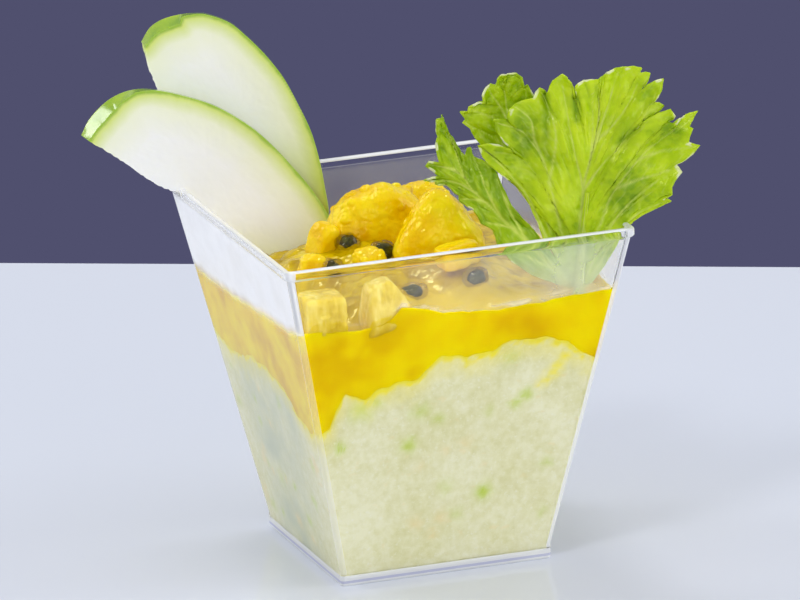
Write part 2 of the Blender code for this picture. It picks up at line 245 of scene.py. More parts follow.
def closed_surface(
    grid: Array,
    first: Array,
    last: Array,
    numbers: dict[str, Array] | None = None,
    kinds: Array | None = None,
) -> Surface:
    """Closed shell: a grid whose columns wrap round, with a fan to a pole at each end.

    Args:
        grid: rows of columns of points in metres.
        first: the pole before the first row.
        last: the pole after the last row.
        numbers: named numbers for the grid's points.
        kinds: which finish the faces after each row, or after each point of it, have.

    Returns:
        The shell with its faces pointing outwards, which is where its volume is positive.
    """
    rows, columns = grid.shape[:2]
    index = np.arange(rows * columns).reshape(rows, columns)
    after = np.roll(index, -1, axis=1)
    quads = np.stack((index[:-1], after[:-1], after[1:], index[1:]), axis=-1).reshape(-1, 4)
    tip = rows * columns
    start = np.stack((np.full(columns, tip), after[0], index[0]), axis=-1)
    end = np.stack((np.full(columns, tip + 1), index[-1], after[-1]), axis=-1)
    points = np.vstack((grid.reshape(-1, 3), first, last))
    triangles = np.vstack((quads[:, :3], quads[:, (0, 2, 3)], start, end))
    a, b, c = (points[triangles[:, corner]] - points[0] for corner in range(3))
    if np.einsum("ij,ij->", a, np.cross(b, c)) < 0.0:
        quads, start, end = quads[:, ::-1], start[:, ::-1], end[:, ::-1]
    stored = {
        name: np.concatenate((values.ravel(), [values[0].mean(), values[-1].mean()]))
        for name, values in (numbers or {}).items()
    }
    faces = quads.tolist() + start.tolist() + end.tolist()
    if kinds is not None:
        spread = np.broadcast_to(kinds.reshape(rows, -1), (rows, columns))
        kinds = np.concatenate((spread[:-1].ravel(), spread[0], spread[-1]))
    return Surface(points, faces, stored, kinds)


def open_sheet(grid: Array, numbers: dict[str, Array] | None = None) -> Surface:
    """Open sheet: a grid's points joined by four-sided faces.

    Args:
        grid: rows of columns of points in metres.
        numbers: named numbers for the grid's points.

    Returns:
        The sheet.
    """
    rows, columns = grid.shape[:2]
    index = np.arange(rows * columns).reshape(rows, columns)
    quads = np.stack((index[:-1, :-1], index[1:, :-1], index[1:, 1:], index[:-1, 1:]), axis=-1)
    stored = {name: values.ravel() for name, values in (numbers or {}).items()}
    return Surface(grid.reshape(-1, 3), quads.reshape(-1, 4).tolist(), stored)


def round_directions(rows: int, columns: int) -> Array:
    """Unit directions on a ball without its poles: rows run down, columns run round.

    Args:
        rows: how many rows lie between the poles.
        columns: how many directions a row has.

    Returns:
        Rows of columns of directions.
    """
    down = np.pi * np.arange(1, rows + 1)[:, None] / (rows + 1)
    around = 2.0 * np.pi * np.arange(columns)[None, :] / columns
    flat = np.sin(down)
    return np.stack(
        (flat * np.cos(around), flat * np.sin(around), np.cos(down) * np.ones_like(around)),
        axis=-1,
    )


def flat_spots(x: Array, y: Array) -> Array:
    """Places in a plane as places in space whose third number is 0."""
    return np.stack((x, y, 0.0 * x), axis=-1)


def along_line(share: Array, line: Array) -> Array:
    """Points at shares of the way through a row of points, straight between them.

    Args:
        share: numbers from 0 at the first point to 1 at the last.
        line: the points, or anything else that is kept as rows of numbers.

    Returns:
        One row for each share.
    """
    at = np.linspace(0.0, 1.0, len(line))
    return np.stack([np.interp(share, at, column) for column in line.T], axis=-1)


# The way out of each side of a square and the way along it.
SIDES = (((0, -1), (1, 0)), ((1, 0), (0, 1)), ((0, 1), (-1, 0)), ((-1, 0), (0, -1)))


@dataclass(frozen=True)
class SquareRing:
    """Columns round a square with rounded corners, from the front's left end to its right."""

    anchors: Array
    normals: Array
    places: Array

    @staticmethod
    def of(stops: Array, arc_steps: int) -> "SquareRing":
        """Columns at shares of each flat side, with an arc between the sides.

        Args:
            stops: shares of a flat side, 0 and 1 among them.
            arc_steps: how many steps a corner's quarter turn has.

        Returns:
            The columns, with places from 0 to 4 that count the sides.
        """
        turns = np.radians(90.0) * np.arange(1, arc_steps) / arc_steps
        anchors, normals, places = [], [], []
        for side, (out, along) in enumerate(np.array(SIDES, float)):
            anchors.append(out + (2.0 * stops[:, None] - 1.0) * along)
            normals.append(np.tile(out, (len(stops), 1)))
            anchors.append(np.tile(out + along, (len(turns), 1)))
            normals.append(np.cos(turns)[:, None] * out + np.sin(turns)[:, None] * along)
            places.extend((side + stops, np.full(len(turns), side + 1.0)))
        return SquareRing(np.vstack(anchors), np.vstack(normals), np.concatenate(places) % 4.0)

    def grid(self, half: Array, radius: Array, height: Array) -> Array:
        """Rings of points: (half - radius) times the anchor plus radius times the normal.

        Args:
            half: half widths, one a row or one for each point.
            radius: corner radii, as half.
            height: heights, as half.

        Returns:
            Rows of columns of points in metres.
        """
        shape = (len(half), len(self.anchors))
        wide = [np.broadcast_to(v.reshape(len(half), -1), shape) for v in (half, radius, height)]
        flat = (wide[0] - wide[1])[..., None] * self.anchors + wide[1][..., None] * self.normals
        return np.concatenate((flat, wide[2][..., None]), axis=-1) * MM


@dataclass(frozen=True)
class Placing:
    """Own plane of a flat garnish: X across, Y up and Z towards the viewer."""

    origin: Triple
    lean: float

    def to_world(self, points: Array) -> Array:
        """Move points from the plane into the frame.

        Args:
            points: places in the plane in millimetres.

        Returns:
            Places in the frame in metres: turned to face the viewer, leaned back, then moved.
        """
        facing = Matrix.Rotation(GARNISH_FACING, 3, "Z")
        turn = facing @ Matrix.Rotation(np.radians(90.0 - self.lean), 3, "X")
        return (points @ np.array(turn).T + np.array(self.origin)) * MM


def finish_piece(made: Object, slot: Slot, *nodes: str) -> Object:
    """Let a piece ride on the body and stand for its nodes.

    Args:
        made: the piece.
        slot: the record's slot; not used.
        *nodes: the CAD nodes that it stands for.

    Returns:
        The piece.
    """
    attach(made, BODY)
    if nodes:
        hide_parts(*nodes)
    made.data.calc_loop_triangles()
    LOG.info("%s: %d triangles", made.name, len(made.data.loop_triangles))
    return made


# Finishes.


def linear(red: float, green: float, blue: float) -> Colour:
    """Screen colour from 0 to 255 as the linear colour that a shader takes."""
    values = np.array([red, green, blue]) / 255.0
    return tuple(np.where(values > 0.04045, ((values + 0.055) / 1.055) ** 2.4, values / 12.92))


class NodeSheet:
    """The node tree of one new material, with short calls to add and join its nodes."""

    def __init__(self, name: str) -> None:
        """Start a material whose output is free.

        Args:
            name: the material's name.
        """
        self.material = bpy.data.materials.new(name)
        self.material.use_nodes = True
        self.tree = self.material.node_tree
        self.shader = self.tree.nodes["Principled BSDF"]
        self.output = self.tree.nodes["Material Output"]
        self.places = self.node("TexCoord").outputs["Object"]

    def fill(self, socket: Socket, value: Value) -> None:
        """Give one input its value.

        Args:
            socket: the input.
            value: an output for it to read, or else its colour, numbers or number.
        """
        if isinstance(value, Socket):
            self.tree.links.new(value, socket)
        else:
            socket.default_value = (*value, 1.0) if socket.type == "RGBA" else value

    def set(self, node: bpy.types.Node, **values: Value) -> None:
        """Fill a node's inputs, which are named with _ for a space."""
        for name, value in values.items():
            self.fill(node.inputs[name.replace("_", " ")], value)

    def dress(self, **values: Value) -> None:
        """Fill the shader's own inputs, which are named with _ for a space."""
        self.set(self.shader, **values)

    def node(self, kind: str, **values: Value) -> bpy.types.Node:
        """Add a node.

        Args:
            kind: its type, without the ShaderNode that every type's name starts with.
            **values: what its inputs take, named with _ for a space.

        Returns:
            The node.
        """
        made = self.tree.nodes.new("ShaderNode" + kind)
        self.set(made, **values)
        return made

    def noise(self, scale: float, detail: float = 3.0, stretch: Triple = (1.0, 1.0, 1.0)) -> Socket:
        """Noise texture over the object.

        Args:
            scale: how fine it is, in cycles a metre.
            detail: how many finer layers it has.
            stretch: factors on the three coordinates.

        Returns:
            The output with its value.
        """
        spots = self.node("Mapping", Vector=self.places, Scale=stretch).outputs["Vector"]
        made = self.node("TexNoise", Vector=spots, Scale=scale, Detail=detail, Roughness=0.6)
        return made.outputs["Fac"]

    def cells(self, scale: float) -> Socket:
        """Distance to the nearest of scattered spots, of which there are scale in a metre."""
        return self.node("TexVoronoi", Vector=self.places, Scale=scale).outputs["Distance"]

    def number(self, name: str) -> Socket:
        """Number that a surface keeps for each point.

        Args:
            name: the name that it is kept under.

        Returns:
            The output with the number.
        """
        made = self.node("Attribute")
        made.attribute_name = name
        return made.outputs["Fac"]

    def ramp(self, factor: Socket, *stops: tuple[float, Colour]) -> Socket:
        """Colour that runs through stops as a factor grows.

        Args:
            factor: the output that drives it.
            *stops: pairs of a place from 0 to 1 and a linear colour.

        Returns:
            The output with the colour.
        """
        made = self.node("ValToRGB", Fac=factor)
        spots = made.color_ramp.elements
        while len(spots) < len(stops):
            spots.new(0.5)
        for spot, (place, colour) in zip(spots, stops):
            spot.position = place
            spot.color = (*colour, 1.0)
        return made.outputs["Color"]

    def ease(self, factor: Socket, low: float, high: float, top: float = 1.0) -> Socket:
        """Factor spread from low and high to 0 and top, and held outside them."""
        made = self.node("MapRange", Value=factor, From_Min=low, From_Max=high, To_Max=top)
        return made.outputs["Result"]

    def mix(self, factor: Socket, under: Socket, over: Socket | Colour) -> Socket:
        """Lay one colour over another.

        Args:
            factor: how much of the upper colour shows.
            under: the lower colour.
            over: the upper colour.

        Returns:
            The output with the mixed colour.
        """
        made = self.node("Mix")
        made.data_type = "RGBA"
        self.set(made, Factor=factor, A=under, B=over)
        return made.outputs["Result"]

    def combined(self, first: Socket, second: Socket | float, operation: str = "ADD") -> Socket:
        """Join two values.

        Args:
            first: the first value.
            second: the second value.
            operation: the math node's operation.

        Returns:
            The output with the outcome.
        """
        made = self.node("Math")
        made.operation = operation
        self.fill(made.inputs[0], first)
        self.fill(made.inputs[1], second)
        return made.outputs[0]

    def bump(self, height: Socket, depth: float, strength: float) -> None:
        """Let a height shift the shader's normals; a height of 1 stands for depth millimetres."""
        made = self.node("Bump", Height=height, Distance=depth * MM, Strength=strength)
        self.dress(Normal=made.outputs["Normal"])

    def blend(self, factor: Value, other: bpy.types.Node) -> None:
        """Mix the shader with another on the way to the output.

        Args:
            factor: how much of the other shows.
            other: the other shader's node.
        """
        mixer = self.node("MixShader")
        for socket, value in zip(mixer.inputs, (factor, self.shader.outputs[0], other.outputs[0])):
            self.fill(socket, value)
        self.fill(self.output.inputs["Surface"], mixer.outputs[0])

    def let_light_through(self, tint: Colour) -> None:
        """Let rays from the lamps pass straight through and take on a tint, as clear things do."""
        lamp_ray = self.node("LightPath").outputs["Is Shadow Ray"]
        self.blend(lamp_ray, self.node("BsdfTransparent", Color=tint))


@dataclass(frozen=True)
class ClearFinish:
    """Clear polished material: plastic or fruit jelly."""

    name: str
    tint: Colour
    bending: float
    roughness: float
    clearness: float
    shade: Colour
    sheen: float = 1.0

    def build(self) -> Material:
        """Dress a piece in clear material.

        Returns:
            A material with faint moulding waves that lets the lamps' light through.
        """
        sheet = NodeSheet(self.name)
        sheet.dress(
            Base_Color=self.tint,
            Roughness=self.roughness,
            IOR=self.bending,
            Transmission_Weight=self.clearness,
            Specular_Tint=(self.sheen, self.sheen, self.sheen),
        )
        sheet.bump(sheet.noise(60.0, 1.0), 0.02, 0.35)
        sheet.let_light_through(self.shade)
        return sheet.material


@dataclass(frozen=True)
class MistFinish:
    """White film of droplets, as thick as the piece's haze number says."""

    name: str
    grain: float
    tone: Colour = (0.98, 0.985, 1.0)

    def build(self) -> Material:
        """Dress a film in droplets.

        Returns:
            A material whose cover is the haze times fine noise, as strong as its grain.
        """
        sheet = NodeSheet(self.name)
        grain = sheet.ease(sheet.noise(900.0, 2.0), 0.2, 0.8, self.grain)
        cover = sheet.combined(grain, 1.0 - 0.5 * self.grain)
        cover = sheet.combined(cover, sheet.number("haze"), "MULTIPLY")
        sheet.dress(Base_Color=self.tone, Roughness=1.0, Specular_IOR_Level=0.0, Alpha=cover)
        sheet.let_light_through(UNTINTED)
        return sheet.material


@dataclass(frozen=True)
class GranitaFinish:
    """Packed fine ice with green and peach flecks and a yellow edge where coulis soaks in."""

    name: str = "granita_ice"
    pale: Colour = linear(243, 242, 214)
    deep: Colour = linear(227, 225, 178)
    grain: Colour = linear(248, 248, 234)
    fleck: Colour = linear(196, 218, 60)
    blush: Colour = linear(244, 226, 172)
    soaked: Colour = linear(252, 240, 60)
    # Painted shade: the greyer colour that the left wall's ice takes.
    wet: Colour = linear(208, 214, 190)

    def build(self) -> Material:
        """Dress the ice by its own numbers for blush, fleck and soak, and by its wet number, which
        paints shade on the left wall.

        Returns:
            A material whose grain is noise of about a millimetre over cloudy patches.
        """
        sheet = NodeSheet(self.name)
        cloud = sheet.noise(75.0, 4.0)
        fine = sheet.noise(620.0, 3.0)
        mottled = sheet.combined(sheet.combined(cloud, fine), 0.5, "MULTIPLY")
        colour = sheet.ramp(mottled, (0.36, self.deep), (0.62, self.pale))
        crystals = sheet.ease(sheet.noise(1500.0, 2.0), 0.58, 0.74, 0.55)
        colour = sheet.mix(crystals, colour, self.grain)
        dots = sheet.ease(sheet.noise(300.0, 2.0, (1.0, 1.0, 1.4)), 0.64, 0.75, 0.30)
        colour = sheet.mix(dots, colour, self.blush)
        # Painted shade on the left wall, read from the wet number.
        colour = sheet.mix(sheet.number("wet"), colour, self.wet)
        colour = sheet.mix(sheet.number("blush"), colour, self.blush)
        colour = sheet.mix(sheet.number("fleck"), colour, self.fleck)
        colour = sheet.mix(sheet.number("soak"), colour, self.soaked)
        sheet.dress(Base_Color=colour, Roughness=0.55, Specular_IOR_Level=0.15)
        sheet.dress(Subsurface_Weight=0.25, Subsurface_Radius=(1.0, 1.0, 0.8))
        sheet.dress(Subsurface_Scale=0.002)
        sheet.bump(fine, 0.12, 0.5)
        return sheet.material


@dataclass(frozen=True)
class FruitFinish:
    """Wet fruit: deep and bright patches, fine pulp and a watery gloss."""

    name: str
    deep: Colour
    middle: Colour
    bright: Colour
    patches: float
    pulp: float
    pulp_depth: float
    roughness: float
    stretch: Triple = (1.0, 1.0, 1.0)
    gloss: float = 1.0

    def build(self) -> Material:
        """Dress fruit by its own numbers for shade and glow.

        Returns:
            A material with patches in three colours, pulpy bump and a warm wet shine.
        """
        sheet = NodeSheet(self.name)
        patches = sheet.noise(self.patches, 3.0, self.stretch)
        colour = sheet.ramp(patches, (0.36, self.deep), (0.50, self.middle), (0.66, self.bright))
        # Shade: painted shade under the lumps and on the darker pieces, and darker smudges on the
        # coulis. Glow: brighter patches, and painted light near the coulis's front.
        colour = sheet.mix(sheet.number("shade"), colour, self.deep)
        colour = sheet.mix(sheet.number("glow"), colour, self.bright)
        sheet.dress(Base_Color=colour, Roughness=self.roughness)
        sheet.dress(Specular_Tint=(1.0, 0.92, 0.28), Specular_IOR_Level=0.55 * self.gloss)
        sheet.dress(Subsurface_Weight=0.35, Subsurface_Radius=(1.0, 0.9, 0.15))
        sheet.dress(Subsurface_Scale=0.002)
        sheet.bump(sheet.noise(self.pulp, 3.0, self.stretch), self.pulp_depth, 0.6)
        return sheet.material


@dataclass(frozen=True)
class SliceFinish:
    """Crisp white flesh, a green line under the skin, and waxy green skin."""

    name: str = "crisp_fruit"
    flesh: Colour = linear(250, 250, 245)
    shaded: Colour = linear(244, 247, 218)
    under_skin: Colour = linear(214, 228, 116)
    line: Colour = linear(148, 186, 0)
    skin: Colour = linear(126, 166, 0)
    bloom: Colour = linear(160, 190, 12)
    juice: Colour = linear(196, 206, 60)

    def build(self) -> Material:
        """Dress a slice by its own numbers for depth, skin and juice.

        Returns:
            A material that reads how deep a point lies under the skin, in centimetres.
        """
        sheet = NodeSheet(self.name)
        depth = sheet.number("depth")
        wobble = sheet.ease(sheet.noise(160.0, 3.0), 0.3, 0.7, 0.05)
        depth = sheet.combined(depth, wobble)
        flesh = sheet.ramp(
            depth,
            (0.05, self.line),
            (0.10, self.under_skin),
            (0.36, self.shaded),
            (0.90, self.flesh),
        )
        grain = sheet.ease(sheet.noise(900.0, 3.0), 0.5, 0.8, 0.08)
        flesh = sheet.mix(grain, flesh, self.shaded)
        skin = sheet.ramp(sheet.noise(220.0, 4.0), (0.35, self.skin), (0.70, self.bloom))
        colour = sheet.mix(sheet.number("skin"), flesh, skin)
        colour = sheet.mix(sheet.number("juice"), colour, self.juice)
        roughness = sheet.ease(sheet.number("skin"), 1.35, 0.0, 0.5)
        sheet.dress(Base_Color=colour, Roughness=roughness, Specular_IOR_Level=0.9)
        sheet.dress(Subsurface_Weight=0.20, Subsurface_Radius=(1.0, 1.0, 0.6))
        sheet.dress(Subsurface_Scale=0.0015)
        sheet.bump(sheet.noise(1100.0, 3.0), 0.02, 0.25)
        return sheet.material


@dataclass(frozen=True)
class LeafFinish:
    """Fresh leaf: bright blade, pale veins, a fine net between them, light from behind."""

    name: str = "fresh_leaf"
    dark: Colour = linear(136, 178, 0)
    blade: Colour = linear(196, 226, 4)
    light: Colour = linear(222, 242, 40)
    vein: Colour = linear(224, 236, 120)
    # Painted highlight: the near-white colour of the brightest lit margins.
    tip: Colour = linear(246, 250, 200)
    stalk: Colour = linear(222, 232, 170)
    see_through: float = 0.30

    def build(self) -> Material:
        """Dress a leaf by its own numbers for shade, lit, vein and stalk.

        Returns:
            A material that also lets some of the light from behind through.
        """
        sheet = NodeSheet(self.name)
        patches = sheet.noise(90.0, 4.0)
        colour = sheet.ramp(patches, (0.34, self.dark), (0.50, self.blade), (0.68, self.light))
        net = sheet.ease(sheet.cells(620.0), 0.42, 0.62, 0.30)
        colour = sheet.mix(net, colour, self.light)
        # Painted shade from the shade number, then painted highlight from the lit number.
        colour = sheet.mix(sheet.number("shade"), colour, self.dark)
        colour = sheet.mix(sheet.number("lit"), colour, self.light)
        colour = sheet.mix(sheet.ease(sheet.number("lit"), 0.45, 0.8), colour, self.tip)
        colour = sheet.mix(sheet.number("vein"), colour, self.vein)
        colour = sheet.mix(sheet.number("stalk"), colour, self.stalk)
        sheet.dress(Base_Color=colour, Roughness=0.24)
        sheet.dress(Specular_IOR_Level=0.6, Specular_Tint=(1.0, 1.0, 0.5))
        sheet.bump(sheet.noise(420.0, 4.0), 0.28, 0.8)
        sheet.blend(self.see_through, sheet.node("BsdfTranslucent", Color=colour))
        return sheet.material


@dataclass(frozen=True)
class SeedFinish:
    """Hard dark pitted seed."""

    name: str = "seed_shell"
    dark: Colour = linear(34, 38, 34)
    worn: Colour = linear(96, 100, 96)

    def build(self) -> Material:
        """Dress a seed.

        Returns:
            A material with small pits and paler worn spots.
        """
        sheet = NodeSheet(self.name)
        colour = sheet.ramp(sheet.noise(500.0), (0.45, self.dark), (0.75, self.worn))
        sheet.dress(Base_Color=colour, Roughness=0.28)
        sheet.bump(sheet.cells(1900.0), 0.12, 0.8)
        return sheet.material


@dataclass(frozen=True)
class TableFinish:
    """Smooth pale table with a soft mirror gloss."""

    name: str = "pale_table"
    tone: Colour = linear(218, 222, 234)
    patch: Colour = linear(210, 216, 230)

    def build(self) -> Material:
        """Dress the table.

        Returns:
            A material whose tone drifts a little over it.
        """
        sheet = NodeSheet(self.name)
        colour = sheet.ramp(sheet.noise(3.0, 1.0), (0.3, self.patch), (0.7, self.tone))
        sheet.dress(Base_Color=colour, Roughness=0.10, Specular_IOR_Level=0.5)
        return sheet.material


# Tumbler and fillings.


class Face(IntEnum):
    """Finishes of the tumbler's faces."""

    CLEAR = 0
    # Painted highlight: a whiter, less clear finish on the edges where light gathers.
    EDGE = 1
    # A fainter painted edge highlight where the near corner lies on the food.
    SOFT = 2
    # Painted reflection: a lavender line above the foot's lower edge.
    LINE = 3


@dataclass
class Tumbler:
    """Square tapered tumbler. Half widths run from its axis to a flat side.

    The lip takes the edge finish, a painted highlight, down to lip_depth, the foot's thin line of
    painted reflection lies between the heights of line_span, and food_top is where the food ends at
    the near corner.
    """

    height: float = 67.6
    wall_at_table: float = 20.65
    slope: float = 0.2074
    wall: float = 0.9
    floor: float = 1.5
    foot_half: float = 21.25
    foot_height: float = 2.2
    foot_rounding: float = 0.4
    rim_half: float = 35.0
    rim_band: float = 2.0
    rim_rounding: float = 0.5
    outer_radius: float = 0.8
    rim_radius: float = 1.5
    inner_radius: float = 0.6
    floor_fillet: float = 0.5
    flat_inset: float = 1.5
    foot_flare: float = 0.03
    outer_levels: tuple[float, ...] = (3.0, 20.0, 54.0)
    inner_levels: tuple[float, ...] = (50.0, 20.0)
    rim_step: Pairs = ((0.75, -0.05), (0.25, 0.15), (0.0, 0.5))
    lip_depth: float = 0.42
    line_span: Pair = (0.55, 1.0)
    food_top: float = 53.0
    arc_steps: int = 10

    def inner_half(self, height: Array | float) -> Array | float:
        """Half width of the hollow at a height."""
        return self.wall_at_table + self.slope * height - self.wall

    def profile(self) -> Array:
        """Half width, corner radius and height from the foot, over the rim, to the floor.

        Returns:
            One row a ring. Each rounding is a quarter circle, and a ring close to each end of
            a straight stretch keeps it flat.
        """
        quarter = np.radians(np.linspace(0.0, 90.0, 6))
        band = self.height - self.rim_band
        levels = (*self.outer_levels, band - 0.3)
        outer = self.wall_at_table + self.slope * np.array(levels)
        turn, r = self.foot_rounding, self.rim_rounding
        rows = [(self.foot_half - self.flat_inset, self.outer_radius, 0.0)]
        rows += [
            (self.foot_half - turn + turn * np.sin(a), self.outer_radius, turn - turn * np.cos(a))
            for a in quarter
        ]
        rows += [(self.foot_half, self.outer_radius, z) for z in (0.6, 1.1, self.foot_height - 0.1)]
        rows += [(self.foot_half + self.foot_flare, self.outer_radius, self.foot_height + 0.1)]
        rows += [(half, self.outer_radius, level) for half, level in zip(outer, levels)]
        radii = (self.outer_radius, self.rim_radius, self.rim_radius)
        rows += [
            (self.rim_half - inset, radius, band + rise)
            for (inset, rise), radius in zip(self.rim_step, radii)
        ]
        rows += [
            (self.rim_half - r + r * np.cos(a), self.rim_radius, self.height - r + r * np.sin(a))
            for a in quarter
        ]
        inside = self.inner_half(self.height)
        rows += [
            (inside + r - r * np.sin(a), self.inner_radius, self.height - r + r * np.cos(a))
            for a in quarter
        ]
        fillet = self.floor_fillet
        low = self.floor + fillet
        for height in (self.height - 1.2, *self.inner_levels, low + 0.4):
            rows.append((self.inner_half(height), self.inner_radius, height))
        rows += [
            (
                self.inner_half(low) - fillet + fillet * np.cos(a),
                self.inner_radius,
                low - fillet * np.sin(a),
            )
            for a in quarter
        ]
        rows.append((self.inner_half(low) - self.flat_inset, self.inner_radius, self.floor))
        return np.array(rows)

    def build(
        self,
        clear: Material,
        edge: Material,
        soft: Material,
        line: Material,
    ) -> Object:
        """Tumbler: the profile carried round the rounded square, closed by a pole at each end.

        Args:
            clear: finish of the flat walls.
            edge: finish of the outer corners, the lip and the foot, where light gathers: a whiter,
                less clear plastic that paints the highlight.
            soft: fainter painted edge highlight on the near corner where it lies on the food.
            line: lavender finish of the thin line above the foot's lower edge, a painted reflection.

        Returns:
            The piece.
        """
        ring = SquareRing.of(np.array([0.0, 0.006, 0.5, 0.994, 1.0]), self.arc_steps)
        half, radius, height = self.profile().T
        grid = ring.grid(half, radius, height)
        outside = (np.arange(len(half)) < np.argmax(height))[:, None]
        turning = (ring.places % 1.0 > 0.9939) | (ring.places % 1.0 == 0.0)
        front_left = turning & ((ring.places < 0.5) | (ring.places > 3.5))
        tall = height[:, None]
        corner = outside & turning
        lip = tall > self.height - self.lip_depth
        foot = (tall < self.foot_height - 0.15) & (half[:, None] > self.foot_half - 1.0) & outside
        above_foot = corner & (tall > self.foot_height)
        # Corners, lip and foot take the painted highlight finishes, and the foot's thin line takes the
        # painted reflection.
        kinds = np.select(
            [
                lip | (foot & ((tall < self.line_span[0]) | (tall > self.line_span[1]))),
                foot,
                above_foot & front_left & (tall < self.food_top),
                above_foot,
            ],
            [Face.EDGE, Face.LINE, Face.SOFT, Face.EDGE],
            Face.CLEAR,
        )
        shell = closed_surface(grid, (0, 0, 0), (0, 0, self.floor * MM), kinds=kinds)
        return finish_piece(shell.to_object("tumbler", clear, edge, soft, line), Slot.PLASTIC, "cup")


GRANITA_LINE: Pairs = (
    (0.00, 33.0), (0.03, 33.6), (0.07, 37.6), (0.107, 40.5), (0.17, 39.4), (0.223, 40.6),
    (0.339, 41.6), (0.411, 43.6), (0.446, 45.7), (0.554, 45.8), (0.643, 46.5), (0.696, 47.2),
    (0.80, 46.8), (0.875, 45.8), (0.9375, 43.5), (1.0, 41.6), (1.20, 40.4), (1.45, 43.2),
    (1.70, 44.0), (1.90, 41.0), (2.0, 40.0), (2.30, 42.6), (2.60, 44.0), (2.85, 41.0),
    (3.0, 39.2), (3.16, 36.6), (3.375, 39.4), (3.527, 39.8), (3.696, 38.2), (3.821, 34.2),
    (3.93, 32.5), (4.0, 33.0),
)
COULIS_LINE: Pairs = (
    (0.00, 54.4), (0.09, 54.0), (0.18, 53.5), (0.25, 54.0), (0.29, 55.2), (0.32, 57.3),
    (0.36, 56.8), (0.45, 55.1), (0.54, 54.5), (0.63, 54.1), (0.78, 54.5), (0.88, 55.2),
    (1.0, 55.2), (1.2, 55.8), (1.45, 54.0), (1.7, 55.4), (2.0, 54.0), (2.3, 55.6),
    (2.6, 54.2), (2.85, 52.6), (3.0, 51.2), (3.17, 50.9), (3.36, 51.4), (3.54, 52.2),
    (3.72, 52.9), (3.87, 53.2), (4.0, 54.4),
)
GRANITA_GREEN: Rows = (
    (-22.3, 29.4, 1.0, 0.9), (-18.6, 36.6, 2.2, 0.55), (-15.6, 38.0, 1.5, 0.5),
    (-8.6, 28.2, 1.5, 0.7), (-6.5, 34.9, 1.8, 0.45), (-3.0, 32.9, 1.2, 0.5),
    (7.0, 16.1, 1.5, 0.95), (14.6, 35.6, 1.2, 0.8), (12.6, 34.0, 1.1, 0.6),
    (7.1, 33.0, 1.0, 0.35), (19.4, 20.6, 1.2, 0.4), (19.1, 10.1, 1.1, 0.4),
    (11.2, 43.8, 1.8, 0.35), (1.6, 12.2, 1.3, 0.3), (-1.0, 18.2, 1.6, 0.25),
)
GRANITA_PEACH: Rows = (
    (2.9, 27.2, 1.4, 0.35), (-6.0, 23.2, 1.2, 0.35), (-6.5, 11.2, 1.4, 0.5),
    (-1.5, 12.0, 1.4, 0.5), (-1.1, 26.1, 1.1, 0.45), (-3.2, 8.9, 1.2, 0.35),
)
GRANITA_DRIPS: Rows = (
    (17.5, 37.2, 1.0, 0.8), (18.7, 38.2, 1.2, 0.9), (19.9, 39.4, 1.4, 0.95),
    (21.0, 40.8, 1.5, 0.95), (22.0, 42.4, 1.5, 0.95),
)
COULIS_GLOW: Rows = (
    (-20.7, 49.4, 1.6, 0.9), (-18.1, 48.7, 1.5, 0.8), (-5.2, 51.4, 2.2, 0.8),
    (4.9, 50.0, 2.4, 0.7), (8.9, 48.4, 1.8, 0.7), (-12.0, 46.1, 2.4, 0.8),
    (-9.2, 51.0, 1.8, 0.8), (26.9, 51.2, 2.0, 0.8), (-19.8, 42.0, 2.0, 0.6),
)
COULIS_SMUDGES: Rows = (
    (-21.6, 47.1, 1.1, 0.9), (-18.0, 47.0, 1.2, 0.8), (-8.9, 43.2, 1.3, 0.8),
    (-7.3, 43.8, 1.1, 0.7), (-19.6, 46.6, 0.9, 0.9),
)


